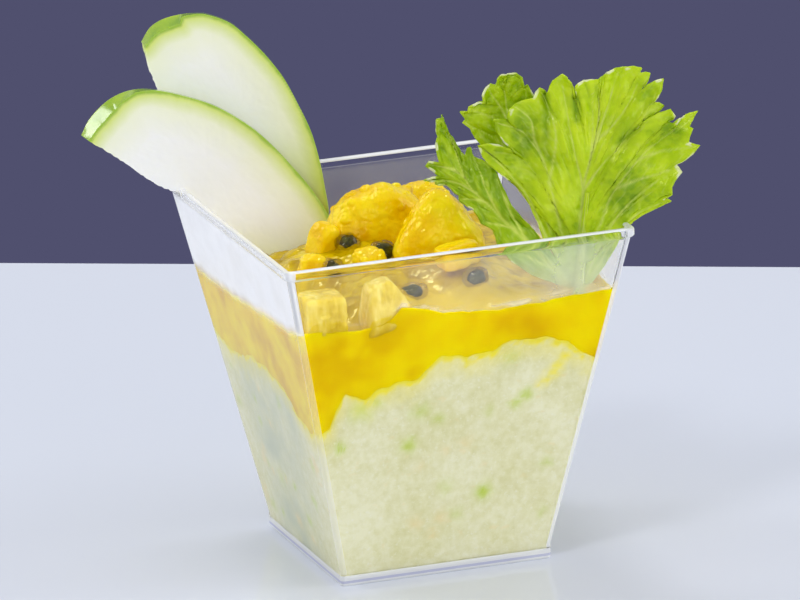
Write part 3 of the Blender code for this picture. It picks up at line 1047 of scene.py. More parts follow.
@dataclass
class Filling:
    """Granita below and coulis above, both pressed against the tumbler's walls.

    The ragged pairs say how far noise moves a line, and which noise. Swells and dips of the
    heap are (across, from front to back, radius, rise), and lumps on it are (rise, width, seed).
    """

    tumbler: Tumbler
    side_stops: int = 92
    arc_steps: int = 4
    granita_rows: int = 84
    coulis_rows: int = 44
    top_rows: int = 84
    granita_ragged: tuple[float, int] = (0.55, 5)
    coulis_ragged: tuple[float, int] = (0.25, 61)
    line_pitch: float = 22.0
    overlap: float = 0.7
    floor_reach: float = 0.3
    side_start: float = 0.7
    level: float = 54.0
    climb: float = 1.1
    climb_reach: float = 0.8
    heap_span: Pair = (1.5, 9.0)
    lump_span: Pair = (1.2, 5.0)
    lumps: Rows = ((1.0, 4.2, 7), (0.35, 2.1, 31))
    swells: Rows = (
        (-10.0, 2.0, 14.0, 6.0),
        (6.0, -10.0, 11.0, 5.0),
        (-36.0, 14.0, 12.0, -3.2),
        (-36.0, -8.0, 10.0, -3.2),
        (-22.0, 2.0, 8.0, 1.4),
        (-10.0, -33.0, 5.0, 2.0),
        (-12.0, -20.0, 7.0, 3.0),
        (7.0, -21.5, 4.0, 1.8),
    )

    def ring(self) -> SquareRing:
        """Columns of both fillings, close enough together for their flecks."""
        return SquareRing.of(np.linspace(0.0, 1.0, self.side_stops), self.arc_steps)

    def granita_line(self, places: Array) -> Array:
        """Height at which the granita meets the walls, at places from 0 to 4 round them."""
        return self.line(places, GRANITA_LINE, *self.granita_ragged)

    def coulis_line(self, places: Array) -> Array:
        """Height at which the coulis meets the walls, at places from 0 to 4 round them."""
        return self.line(places, COULIS_LINE, *self.coulis_ragged)

    def line(self, places: Array, knots: Pairs, ragged: float, seed: int) -> Array:
        """Height of an uneven line round the walls: straight between knots, with noise added.

        Args:
            places: places from 0 to 4 round the walls.
            knots: pairs of a place and a height.
            ragged: how far the noise moves the line.
            seed: which noise to draw.

        Returns:
            The heights in millimetres.
        """
        at, heights = np.array(knots).T
        spots = flat_spots(places * self.line_pitch, places * 0.0)
        wander = layered_noise(spots, seed) * ragged
        seam = smooth_step(np.minimum(places, 4.0 - places), 0.0, 0.05)
        return np.interp(places, at, heights) + wander * seam

    def place_of(self, x: Array, y: Array) -> tuple[Array, Array]:
        """Place round the walls and distance from the nearest wall, in millimetres.

        Args:
            x: places across.
            y: places from front to back.

        Returns:
            Places from 0 to 4, and the larger of the two coordinates' sizes.
        """
        reach = np.maximum(np.maximum(np.abs(x), np.abs(y)), 1e-6)
        front, right, rear = y <= -reach + 1e-9, x >= reach - 1e-9, y >= reach - 1e-9
        along = np.select(
            [front, right, rear],
            [(x / reach + 1) / 2, 1 + (y / reach + 1) / 2, 2 + (1 - x / reach) / 2],
            3 + (1 - y / reach) / 2,
        )
        return along, reach

    def top(self, x: Array, y: Array) -> Array:
        """Height of the coulis: a lumpy heap that meets the walls in a wet climbing edge.

        Args:
            x: places across in millimetres.
            y: places from front to back in millimetres.

        Returns:
            Heights in millimetres. The edge falls as an exponential from the wall and an
            s-curve blends it into the heap.
        """
        place, reach = self.place_of(x, y)
        edge = self.coulis_line(place)
        half = self.tumbler.inner_half(edge) + WALL_REACH
        away = np.clip(half - reach, 0.0, None)
        heap = np.full(x.shape, self.level)
        for centre_x, centre_y, radius, rise in self.swells:
            heap += rise * np.exp(-((x - centre_x) ** 2 + (y - centre_y) ** 2) / radius**2)
        spots = flat_spots(x, y)
        relief = sum(rise * lump_field(spots / width, seed) for rise, width, seed in self.lumps)
        relief += 0.16 * layered_noise(spots / 1.6, 43) - 0.4
        relief *= 0.35 + 0.65 * smooth_step(-x, -2.0, 8.0)
        heap += relief * smooth_step(away, *self.lump_span)
        climb = edge - self.climb * (1.0 - np.exp(-away / self.climb_reach))
        share = smooth_step(away, *self.heap_span)
        return climb * (1.0 - share) + heap * share

    def spots_on(self, points: Array, spots: Rows, extra: int, seed: int) -> Array:
        """How much of a fleck's colour each point has.

        Args:
            points: the surface's points in millimetres.
            spots: flecks on the front as (x, height, radius, strength).
            extra: how many more flecks are scattered over the walls.
            seed: which scatter to draw.

        Returns:
            Numbers from 0 to 1, a bell curve round each fleck, frayed by noise.
        """
        draw = np.random.default_rng(seed)
        shown = [(x, -self.tumbler.inner_half(z), z, r, s) for x, z, r, s in spots]
        for _ in range(extra):
            side, along, z = draw.integers(1, 4), draw.uniform(-0.95, 0.95), draw.uniform(4, 40)
            out, run = np.array(SIDES[side], float)
            x, y = (out + along * run) * self.tumbler.inner_half(z)
            shown.append((x, y, z, draw.uniform(0.6, 1.7), draw.uniform(0.2, 0.8)))
        frayed = points + 0.55 * np.stack(
            [layered_noise(points / 1.1, seed + axis) for axis in range(3)], axis=-1
        )
        total = np.zeros(points.shape[:-1])
        for x, y, z, radius, strength in shown:
            away = ((frayed - (x, y, z)) ** 2).sum(axis=-1)
            total = np.maximum(total, strength * np.exp(-away / radius**2))
        return total

    def left_shade_band(self, places: Array) -> Array:
        """Painted shade: greyer ice along the left wall, strongest between its ends."""
        return 0.8 * smooth_step(places, 3.0, 3.35) * (1.0 - smooth_step(places, 3.6, 3.95))

    def build_granita(self, finish: Material) -> Object:
        """Granita: floor, sides up to the uneven line, and a low top inside the coulis.

        Args:
            finish: the ice's material.

        Returns:
            The piece.
        """
        ring = self.ring()
        line = self.granita_line(ring.places)
        low = self.tumbler.floor - self.floor_reach
        share = np.linspace(0.0, 1.0, self.granita_rows)[:, None]
        heights = low + self.side_start + (line - low - self.side_start) * share
        halves = self.tumbler.inner_half(heights) + WALL_REACH
        floor_half = self.tumbler.inner_half(low) - 0.3
        rows = [np.full_like(line, low)] * 2
        wide = [np.full_like(line, floor_half * 0.5), np.full_like(line, floor_half)]
        heights = np.vstack((*rows, heights, line * 0.5 + 20.0, line * 0.2 + 33.0))
        halves = np.vstack((*wide, halves, halves[-1] - 5.0, halves[-1] * 0.4))
        radius = np.full(len(halves), self.tumbler.inner_radius)
        grid = ring.grid(halves, radius, heights)
        mm = grid / MM
        ragged = layered_noise(mm / 1.8, 71)
        under = mm[..., 2] - line + 0.8 * ragged + 0.5 * layered_noise(mm / 0.8, 73)
        soak = 0.9 * smooth_step(under, -1.7, 0.1) + 0.35 * smooth_step(under, -6.0, -0.5)
        soak = np.maximum(soak, self.spots_on(mm, GRANITA_DRIPS, 0, 227))
        numbers = {
            "fleck": self.spots_on(mm, GRANITA_GREEN, 46, 211),
            "blush": self.spots_on(mm, GRANITA_PEACH, 24, 223),
            "soak": np.clip(soak, 0.0, 0.95),
            # Painted shade on the left wall, kept under the name wet.
            "wet": self.left_shade_band(ring.places) * (0.75 + 0.5 * layered_noise(mm / 7.0, 79)),
        }
        shell = closed_surface(grid, (0.0, 0.0, low * MM), (0.0, 0.0, 41.0 * MM), numbers)
        return finish_piece(shell.to_object("granita_ice", finish), Slot.GRANITA, "granita")

    def build_coulis(self, pressed: Material, wet: Material) -> Object:
        """Coulis: an underside in the granita, sides up to the wet edge, and the lumpy top.

        Args:
            pressed: finish where it lies against the wall.
            wet: finish of its open top.

        Returns:
            The piece.
        """
        ring = self.ring()
        low = self.granita_line(ring.places) - self.overlap
        edge = self.coulis_line(ring.places)
        share = np.linspace(0.0, 1.0, self.coulis_rows)[:, None]
        heights = low + (edge - low) * share
        tuck = 0.25 * smooth_step(self.overlap - share * (edge - low), 0.0, self.overlap)
        halves = self.tumbler.inner_half(heights) + WALL_REACH + 0.05 - tuck
        sides = ring.grid(halves, np.full(len(halves), self.tumbler.inner_radius), heights)
        inward = 1.0 - np.linspace(0.0, 1.0, self.top_rows + 1)[1:-1] ** 1.15
        level = edge * np.ones((len(inward), 1))
        covers = ring.grid(halves[-1] * inward[:, None], self.tumbler.inner_radius * inward, level)
        covers[..., 2] = self.top(covers[..., 0] / MM, covers[..., 1] / MM) * MM
        under_halves = np.vstack((halves[0] * 0.5, halves[0] * 0.9))
        under = ring.grid(under_halves, np.full(2, 0.3), np.vstack((low * 0.3 + 28.0, low)))
        grid = np.concatenate((under, sides, covers))
        mm = grid / MM
        cloud = Patches(6.5, 83, 0.15, 0.8, top=0.55).on(mm)
        # Painted light: the open top is lightened towards the front wall, where the pieces shade it.
        open_top = np.arange(len(grid)) >= len(under) + len(sides)
        cloud = np.maximum(cloud, open_top[:, None] * smooth_step(-mm[..., 1], 20.0, 27.0) * 0.9)
        dull = Patches(4.5, 89, 0.25, 0.9, top=0.35).on(mm)
        numbers = {
            "glow": np.maximum(cloud, self.spots_on(mm, COULIS_GLOW, 0, 229)),
            "shade": np.maximum(dull, self.spots_on(mm, COULIS_SMUDGES, 0, 233)),
        }
        peak = float(self.top(np.zeros(1), np.zeros(1))[0])
        kinds = np.arange(len(grid)) >= len(under) + len(sides) - 1
        ends = (0.0, 0.0, 38.0 * MM), (0.0, 0.0, peak * MM)
        shell = closed_surface(grid, *ends, numbers, kinds.astype(int))
        made = shell.to_object("fruit_coulis", pressed, wet)
        return finish_piece(made, Slot.COULIS, "coulis")


@dataclass
class WallMist:
    """Film of cold mist on the walls above the coulis, over a span of places round them.

    Its thickness, from 0 to 1, is given by pairs of a place and a value.
    """

    name: str
    filling: Filling
    span: Pair
    thickness: Pairs
    gap: float = -0.05
    froth: float = 0.35
    drop: float = 0.6
    rise: float = 0.1
    cloudiness: float = 0.2
    froth_height: float = 1.0
    froth_spread: float = 0.7
    froth_patches: Patches = Patches((4.0, 4.0, 1.2), 137, -0.1, 0.7)
    rows: int = 48
    side_stops: int = 120
    arc_steps: int = 4

    def build(self, finish: Material) -> Object:
        """Film: a sheet along the walls, from just under the coulis line to below the lip.

        Args:
            finish: the droplets' material.

        Returns:
            The piece. Its haze is the thickness times clouds, faded out at both edges, with a
            bell curve of froth just over the coulis.
        """
        tumbler = self.filling.tumbler
        whole = SquareRing.of(np.linspace(0.0, 1.0, self.side_stops), self.arc_steps)
        later = np.arange(len(whole.places)) > len(whole.places) / 2
        places = whole.places + 4.0 * (later & (whole.places < 0.5))
        kept = (places >= self.span[0]) & (places <= self.span[1])
        ring = SquareRing(whole.anchors[kept], whole.normals[kept], places[kept])
        low = self.filling.coulis_line(ring.places) - self.drop
        share = np.linspace(1.0, 0.0, self.rows)[:, None]
        heights = low + (tumbler.height - 1.0 - low) * share
        halves = tumbler.inner_half(heights) + self.gap
        grid = ring.grid(halves, np.full(self.rows, tumbler.inner_radius), heights)
        at, values = np.array(self.thickness).T
        cloud = 1.0 + self.cloudiness * layered_noise(grid / MM / 6.0, 131)
        fade = smooth_step(1.0 - share, 0.0, 0.12) * smooth_step(heights - low, 0.0, self.rise)
        band = np.exp(-(((heights - low - self.froth_height) / self.froth_spread) ** 2))
        froth = self.froth_patches.on(grid / MM) * band * self.froth
        haze = np.clip(np.interp(ring.places, at, values) * cloud * fade + froth, 0.0, 1.0)
        made = open_sheet(grid, {"haze": haze}).to_object(self.name, finish)
        return finish_piece(made, Slot.PLASTIC)


def mist_films(filling: Filling) -> list[WallMist]:
    """Thin mist inside the front, right and rear walls, and a thick one on the left wall, partly a
    painted reflection.

    Args:
        filling: what the mist rises from.

    Returns:
        The inner film and the left wall's.
    """
    inner = (
        (0.0, 0.03), (0.30, 0.06), (0.40, 0.14), (0.60, 0.14), (0.76, 0.18), (0.84, 0.30),
        (0.97, 0.26), (1.0, 0.12), (2.0, 0.12), (2.9, 0.22), (3.0, 0.22),
    )
    return [
        WallMist("wall_mist", filling, (0.0, 3.0), inner),
        # Left wall: a thick white film, partly mist and partly a painted reflection.
        WallMist(
            "side_mist_and_reflection", filling, (3.006, 3.994), ((3.0, 0.92), (4.0, 0.98)),
            gap=filling.tumbler.wall + 0.04, froth=0.0, drop=1.6, rise=3.6, cloudiness=0.05,
        ),
    ]


# Fruit.


@dataclass
class FruitLump:
    """Cut piece of soft fruit: a rounded block, tapered upwards, with bulges and wet pulp.

    Bulges are (across, from front to back, up, radius, rise) from the block's centre. Beads are
    small round drops on its upper half, and dusk is painted shade: how much of its deep colour it
    takes all over.
    """

    node: str
    centre: Triple
    size: Triple
    turn: Triple
    squareness: float
    taper: float
    seed: int
    pulp: float
    unevenness: float
    bulges: Rows = ()
    beads: int = 0
    bead_spans: Pairs = ((-1.0, 0.7), (-1.0, 0.8), (0.1, 1.0))
    bead_radii: Pair = (0.5, 1.2)
    painted_dusk: float = 0.0
    rows: int = 84
    columns: int = 150

    def build(self, finish: Material, slot: Slot) -> Object:
        """Lump: a ball's directions pushed out to a rounded block, then roughened.

        Args:
            finish: the fruit's material.
            slot: the record's slot.

        Returns:
            The piece. A direction's length is (|x|^n + |y|^n + |z|^n)^(-1/n), which is a ball
            at n = 2 and a block for large n.
        """
        grid, grid_numbers = self.shaped(round_directions(self.rows, self.columns))
        ends, _ = self.shaped(POLES)
        shell = closed_surface(grid, ends[0, 0], ends[1, 0], grid_numbers)
        return finish_piece(shell.to_object(self.node + "_flesh", finish), slot, self.node)

    def shaped(self, ball: Array) -> tuple[Array, dict[str, Array]]:
        """Carry unit directions to the lump's skin.

        Args:
            ball: rows of columns of directions.

        Returns:
            Points in metres, and their glow and shade numbers.
        """
        power = self.squareness
        length = (np.abs(ball) ** power).sum(axis=-1, keepdims=True) ** (-1.0 / power)
        unit = ball * length * 0.5
        narrow = 1.0 - self.taper * (unit[..., 2:] + 0.5)
        unit = unit * np.concatenate((narrow, 0.5 + 0.5 * narrow, np.ones_like(narrow)), axis=-1)
        spots = self.beaded(self.bulged(unit * np.array(self.size), ball), ball)
        wander = layered_noise(spots / 6.0, self.seed, 2)
        fine = lump_field(spots / 1.5, self.seed + 3)
        patch = Patches(4.0, self.seed + 9, -0.2, 0.5, layers=1).on(spots)
        push = self.unevenness * wander + self.pulp * fine * patch
        push += 0.10 * layered_noise(spots / 0.9, self.seed + 5, 2)
        spots = spots + ball * push[..., None]
        numbers = {
            "glow": Patches(3.2, self.seed + 21, 0.1, 0.8, top=0.5, layers=1).on(spots),
            # Painted shade: darker underneath, and darker all over by dusk.
            "shade": np.clip(self.painted_dusk + smooth_step(-unit[..., 2] * 2.0, 0.1, 1.2) * 0.7, 0, 1),
        }
        turn = np.array(Euler(np.radians(self.turn)).to_matrix())
        return (spots @ turn.T + np.array(self.centre)) * MM, numbers

    def bulged(self, spots: Array, ball: Array) -> Array:
        """Push points out by a bell curve round each bulge.

        Args:
            spots: points in millimetres from the block's centre.
            ball: their directions.

        Returns:
            The moved points.
        """
        for x, y, z, radius, rise in self.bulges:
            away = ((spots - (x, y, z)) ** 2).sum(axis=-1, keepdims=True)
            spots = spots + ball * rise * np.exp(-away / radius**2)
        return spots

    def beaded(self, spots: Array, ball: Array) -> Array:
        """Push points out by a half ball round each bead, at places drawn on the upper half.

        Args:
            spots: points in millimetres from the block's centre.
            ball: their directions.

        Returns:
            The moved points.
        """
        power, draw = self.squareness, np.random.default_rng(self.seed)
        for _ in range(self.beads):
            way = np.array([draw.uniform(low, high) for low, high in self.bead_spans])
            spot = way / (np.abs(way) ** power).sum() ** (1.0 / power) * 0.5 * np.array(self.size)
            spot[:2] *= 1.0 - self.taper * (spot[2] / self.size[2] + 0.5)
            radius = draw.uniform(*self.bead_radii)
            away = ((spots - spot) ** 2).sum(axis=-1, keepdims=True) / radius**2
            spots = spots + ball * 0.5 * radius * np.sqrt(np.clip(1.0 - away, 0.0, 1.0))
        return spots


# The three large chunks and the four smaller cut pieces.
MANGO_PIECES = (
    FruitLump(
        "mango_chunk_left", (-2.2, 6.2, 63.0), (22.0, 11.0, 12.6), (4, 2, 4), 3.2, 0.30, 3,
        0.16, 0.7, ((1.0, 0.0, 5.6, 2.2, 0.8), (5.4, 0.0, 5.6, 2.0, 0.8), (-9.0, -3.0, -2.0, 3.0, 0.7)),
        beads=20, rows=130, columns=230,
    ),
    FruitLump(
        "mango_chunk_rear", (10.2, 15.4, 59.6), (15.0, 10.0, 13.6), (0, 4, -12), 2.8, 0.25, 8,
        0.25, 0.6, beads=8, painted_dusk=0.35, rows=120, columns=200,
    ),
    FruitLump(
        "mango_chunk_front", (4.6, -9.0, 64.4), (23.0, 11.0, 15.8), (-6, 0, -10), 2.7, 0.72, 5,
        0.20, 0.8, beads=14, rows=130, columns=230,
    ),
    FruitLump(
        "mango_dice_left", (-14.4, 3.0, 61.0), (4.8, 5.4, 7.6), (8, 12, 20), 4.5, 0.14, 12,
        0.15, 0.6, painted_dusk=0.3, rows=70, columns=120,
    ),
    FruitLump(
        "mango_dice_corner", (-19.2, -4.8, 58.5), (5.4, 5.0, 4.2), (-10, 12, -14), 3.0, 0.2,
        14, 0.2, 0.7, painted_dusk=0.15, rows=70, columns=120,
    ),
    FruitLump(
        "mango_dice_middle", (-9.0, -7.6, 59.3), (5.8, 5.2, 4.6), (6, -12, 30), 3.4, 0.16, 17,
        0.25, 0.7, beads=5, rows=70, columns=120,
    ),
    FruitLump(
        "mango_strip_front", (5.0, -18.4, 61.5), (8.4, 4.6, 4.6), (0, -8, 6), 7.0, 0.06, 19,
        0.15, 0.3, rows=70, columns=120,
    ),
)

# The pale cube and wedge that show through the front wall.
PINEAPPLE_PIECES = (
    FruitLump(
        "pineapple_cube", (-25.7, -27.7, 56.6), (8.0, 7.2, 7.4), (0, 0, 0), 9.0, 0.02, 23,
        0.05, 0.15, rows=64, columns=112,
    ),
    FruitLump(
        "pineapple_wedge", (-13.6, -28.0, 57.0), (12.0, 7.2, 9.4), (0, -14, 0), 7.0, 0.60, 27,
        0.05, 0.2, rows=64, columns=112,
    ),
)


@dataclass
class SeedScatter:
    """Passion fruit seeds in their clear jelly, half sunk in the coulis.

    Spots are (across, from front to back, height over the coulis).
    """

    filling: Filling
    spots: tuple[Triple, ...] = (
        (-5.4, -6.0, 1.0), (-10.4, 0.2, -0.1), (-16.2, -6.8, 0.9), (-5.6, -22.0, 0.3),
        (7.2, -21.5, 0.0), (20.6, -4.0, -0.5), (17.0, 5.6, 0.3), (1.0, 16.4, 0.6),
        (19.4, 16.0, 0.6), (-2.8, 25.6, 0.6), (23.0, -14.0, -0.4),
    )
    seed_size: Triple = (3.3, 2.4, 2.1)
    jelly_size: Triple = (5.6, 4.8, 3.9)
    rows: int = 16
    columns: int = 28

    def beads(self, size: Triple, wobble: float, seed: int) -> Surface:
        """One flattened ball at each spot, turned its own way and dented by noise.

        Args:
            size: full lengths of a ball's axes.
            wobble: how far the noise moves the surface.
            seed: which noise to draw.

        Returns:
            All the balls as one surface.
        """
        ball = round_directions(self.rows, self.columns)
        shells = []
        for order, (x, y, raised) in enumerate(self.spots):
            height = float(self.filling.top(np.array([x]), np.array([y]))[0])
            turn = np.array(Euler((0.2, 0.3, np.radians(50.0 * order))).to_matrix())
            parts = []
            for directions in (ball, POLES):
                push = 1.0 + wobble * lattice_noise(directions * 2.3 + order * 5.0, seed)
                points = directions * push[..., None] * np.array(size) * 0.5
                parts.append((points @ turn.T + (x, y, height + raised)) * MM)
            shells.append(closed_surface(parts[0], parts[1][0, 0], parts[1][1, 0]))
        return reduce(Surface.join, shells)

    def build(self, shell: Material, jelly: Material) -> None:
        """Seeds as one piece and their jelly as another.

        Args:
            shell: the seeds' material.
            jelly: the jelly's material.
        """
        seeds = self.beads(self.seed_size, 0.06, 301).to_object("passion_seeds", shell)
        finish_piece(seeds, Slot.COULIS)
        drops = self.beads(self.jelly_size, 0.16, 307).to_object("seed_jelly", jelly)
        finish_piece(drops, Slot.COULIS)


# Slices.


def curve_through(knots: Pairs, steps: int) -> Array:
    """Smooth open curve through knots: a cubic between each two, level with their neighbours.

    Args:
        knots: the points, two numbers each.
        steps: how many points each gap gets.

    Returns:
        Points along the curve, the last knot's among them.
    """
    fixed = np.array(knots)
    padded = np.vstack((2.0 * fixed[0] - fixed[1], fixed, 2.0 * fixed[-1] - fixed[-2]))
    at = np.linspace(0.0, len(fixed) - 1.0, (len(fixed) - 1) * steps + 1)
    gap = np.minimum(at.astype(int), len(fixed) - 2)
    t = (at - gap)[:, None]
    a, b, c, d = (padded[gap + shift] for shift in range(4))
    bend = 2.0 * b + (c - a) * t + (2.0 * a - 5.0 * b + 4.0 * c - d) * t**2
    return 0.5 * (bend + (3.0 * b - a - 3.0 * c + d) * t**3)


@dataclass
class FruitSlice:
    """Crisp slice: a ragged cut below an arc of skin that slants towards the back.

    The arc and the cut run from the tip to the far end, as (across, up) in the slice's plane.
    The band tells how far the flesh's edge lies inside the arc, by the way from the tip.
    """

    node: str
    placing: Placing
    skin: Pairs
    cut: Pairs
    middle: Pair
    band: Pairs
    thickness: float = 3.2
    skin_steps: int = 18
    cut_columns: int = 240

    def outlines(self) -> tuple[Array, Array, int]:
        """Outlines of the back and the front, from the tip along the skin and back by the cut.

        Returns:
            The back's outline, the front's, and how many of their points lie on the skin. The
            front's arc is the back's moved inwards by the band, square to it.
        """
        arc = curve_through(self.skin, self.skin_steps)
        along = np.gradient(arc, axis=0)
        inward = np.stack((along[:, 1], -along[:, 0]), axis=-1)
        inward /= np.linalg.norm(inward, axis=-1, keepdims=True)
        steps = np.linalg.norm(np.diff(arc, axis=0), axis=-1)
        way = np.concatenate(([0.0], np.cumsum(steps)))
        inset = np.interp(way, *np.array(self.band).T)
        front = arc + inward * inset[:, None]
        line = curve_through(self.cut, 24)
        spots = flat_spots(line[:, 0], line[:, 1]) / 0.6
        line[1:-1] += 0.08 * layered_noise(spots, 401)[1:-1, None]
        share = np.linspace(1.0, 0.0, self.cut_columns + 2)[1:-1]
        back_cut = along_line(share, line)
        shift = (1.0 - share[:, None]) ** 6 * (front[0] - arc[0])
        front_cut = back_cut + shift + share[:, None] ** 6 * (front[-1] - arc[-1])
        return np.vstack((arc, back_cut)), np.vstack((front, front_cut)), len(arc)

    def depth_under(self, skin: Array, flat: Array) -> Array:
        """Distance from the skin.

        Args:
            skin: points along the skin in millimetres.
            flat: points of the slice in its plane in millimetres.

        Returns:
            The way to the nearest of the skin's points in centimetres.
        """
        nearest = np.full(flat.shape[:2], 1e9)
        for x, y in skin:
            nearest = np.minimum(nearest, (flat[..., 0] - x) ** 2 + (flat[..., 1] - y) ** 2)
        return np.sqrt(nearest) / 10.0

    def build(self, finish: Material) -> Object:
        """Slice: rings from the front face's middle, over the skin, to the back's middle.

        Args:
            finish: the slice's material.

        Returns:
            The piece. Each ring is an outline drawn towards the middle by its share.
        """
        back, front, skin_count = self.outlines()
        middle = np.array(self.middle)
        face = np.linspace(0.04, 1.0, 46) ** 0.8
        edge = np.array([0.0, 0.0, 0.04, 0.2, 0.4, 0.6, 0.8, 0.96, 1.0, 1.0])
        rings = [middle + (front - middle) * share for share in face[:-1]]
        rings += [front + (back - front) * share for share in edge]
        rings += [middle + (back - middle) * share for share in face[-2::-4]]
        flat = np.stack(rings)
        back_rings = np.full(len(face[-2::-4]), -self.thickness)
        high = np.concatenate((np.zeros(len(face) - 1), -self.thickness * edge, back_rings))
        high = np.broadcast_to(high[:, None], flat.shape[:2])
        on_skin = np.zeros(flat.shape[:2])
        first = len(face) - 1
        on_skin[first + 1 : first + len(edge) - 1, :skin_count] = 1.0
        depth = self.depth_under(front[:skin_count:2], flat)
        plane = np.concatenate((flat, high[..., None]), axis=-1)
        relief = 0.02 * layered_noise(plane / 1.2, 409)
        relief += 0.08 * layered_noise(plane / 9.0, 419, 2)
        inside = smooth_step(depth, 0.02, 0.15) * (high > -0.5 * self.thickness)
        plane = plane + np.stack((0 * high, 0 * high, relief * inside), axis=-1)
        juice = smooth_step(-flat[..., 1], 15.0, 28.0) * 0.5
        numbers = {"depth": depth, "skin": on_skin, "juice": juice}
        grid = self.placing.to_world(plane)
        ends = self.placing.to_world(np.array([(*middle, 0.0), (*middle, -self.thickness)]))
        shell = closed_surface(grid, ends[0], ends[1], numbers)
        made = shell.to_object(self.node.replace("apple", "crisp"), finish)
        return finish_piece(made, Slot.SLICE, self.node)


# A band is the width of skin that a slice's slanting edge shows.
CRISP_SLICES = (
    FruitSlice(
        "apple_slice_front",
        Placing((-51.7, 34.9, 78.0), 10.0),
        skin=(
            (0.0, 0.0), (1.7, 3.1), (4.8, 6.2), (8.2, 8.0), (11.6, 8.6), (15.0, 8.3),
            (18.5, 7.5), (23.6, 5.9), (26.9, 4.4), (30.3, 2.3), (33.5, -0.1), (36.8, -3.3),
            (40.1, -7.1), (43.5, -11.4), (46.6, -16.6), (48.2, -21.5), (47.4, -26.0),
        ),
        cut=(
            (0.0, 0.0), (4.7, -2.9), (9.4, -6.2), (12.8, -8.7), (16.0, -10.5), (18.6, -11.3),
            (21.0, -13.2), (24.9, -16.1), (29.0, -19.2), (34.0, -23.0), (41.0, -27.0),
            (47.4, -26.0),
        ),
        middle=(24.0, -5.0),
        band=(
            (0, 1.7), (2, 2.1), (5, 2.4), (9, 2.1), (12, 1.2), (14.5, 0.3), (18, -0.15),
            (90, -0.25),
        ),
    ),
    FruitSlice(
        "apple_slice_rear",
        Placing((-37.4, 37.6, 93.7), 10.0),
        skin=(
            (-0.6, 0.5), (1.0, 3.0), (3.2, 4.5), (6.3, 5.4), (9.7, 5.7), (12.4, 5.4),
            (16.5, 3.7), (19.7, 0.9), (23.0, -2.6), (26.3, -7.1), (28.8, -12.0),
            (31.2, -17.5), (32.7, -23.4), (33.5, -28.4), (34.1, -33.3), (33.6, -38.5),
            (31.0, -44.0),
        ),
        cut=(
            (-0.6, 0.5), (-0.1, -1.8), (0.7, -4.7), (2.3, -8.6), (5.6, -16.0),
            (11.0, -25.0), (17.5, -34.0), (24.0, -42.0), (31.0, -44.0),
        ),
        middle=(18.0, -13.0),
        band=(
            (0, 1.0), (2.5, 1.5), (6, 1.7), (9.3, 1.5), (10.0, 0.2), (13, -0.1), (90, -0.25),
        ),
    ),
)


# Sprig.


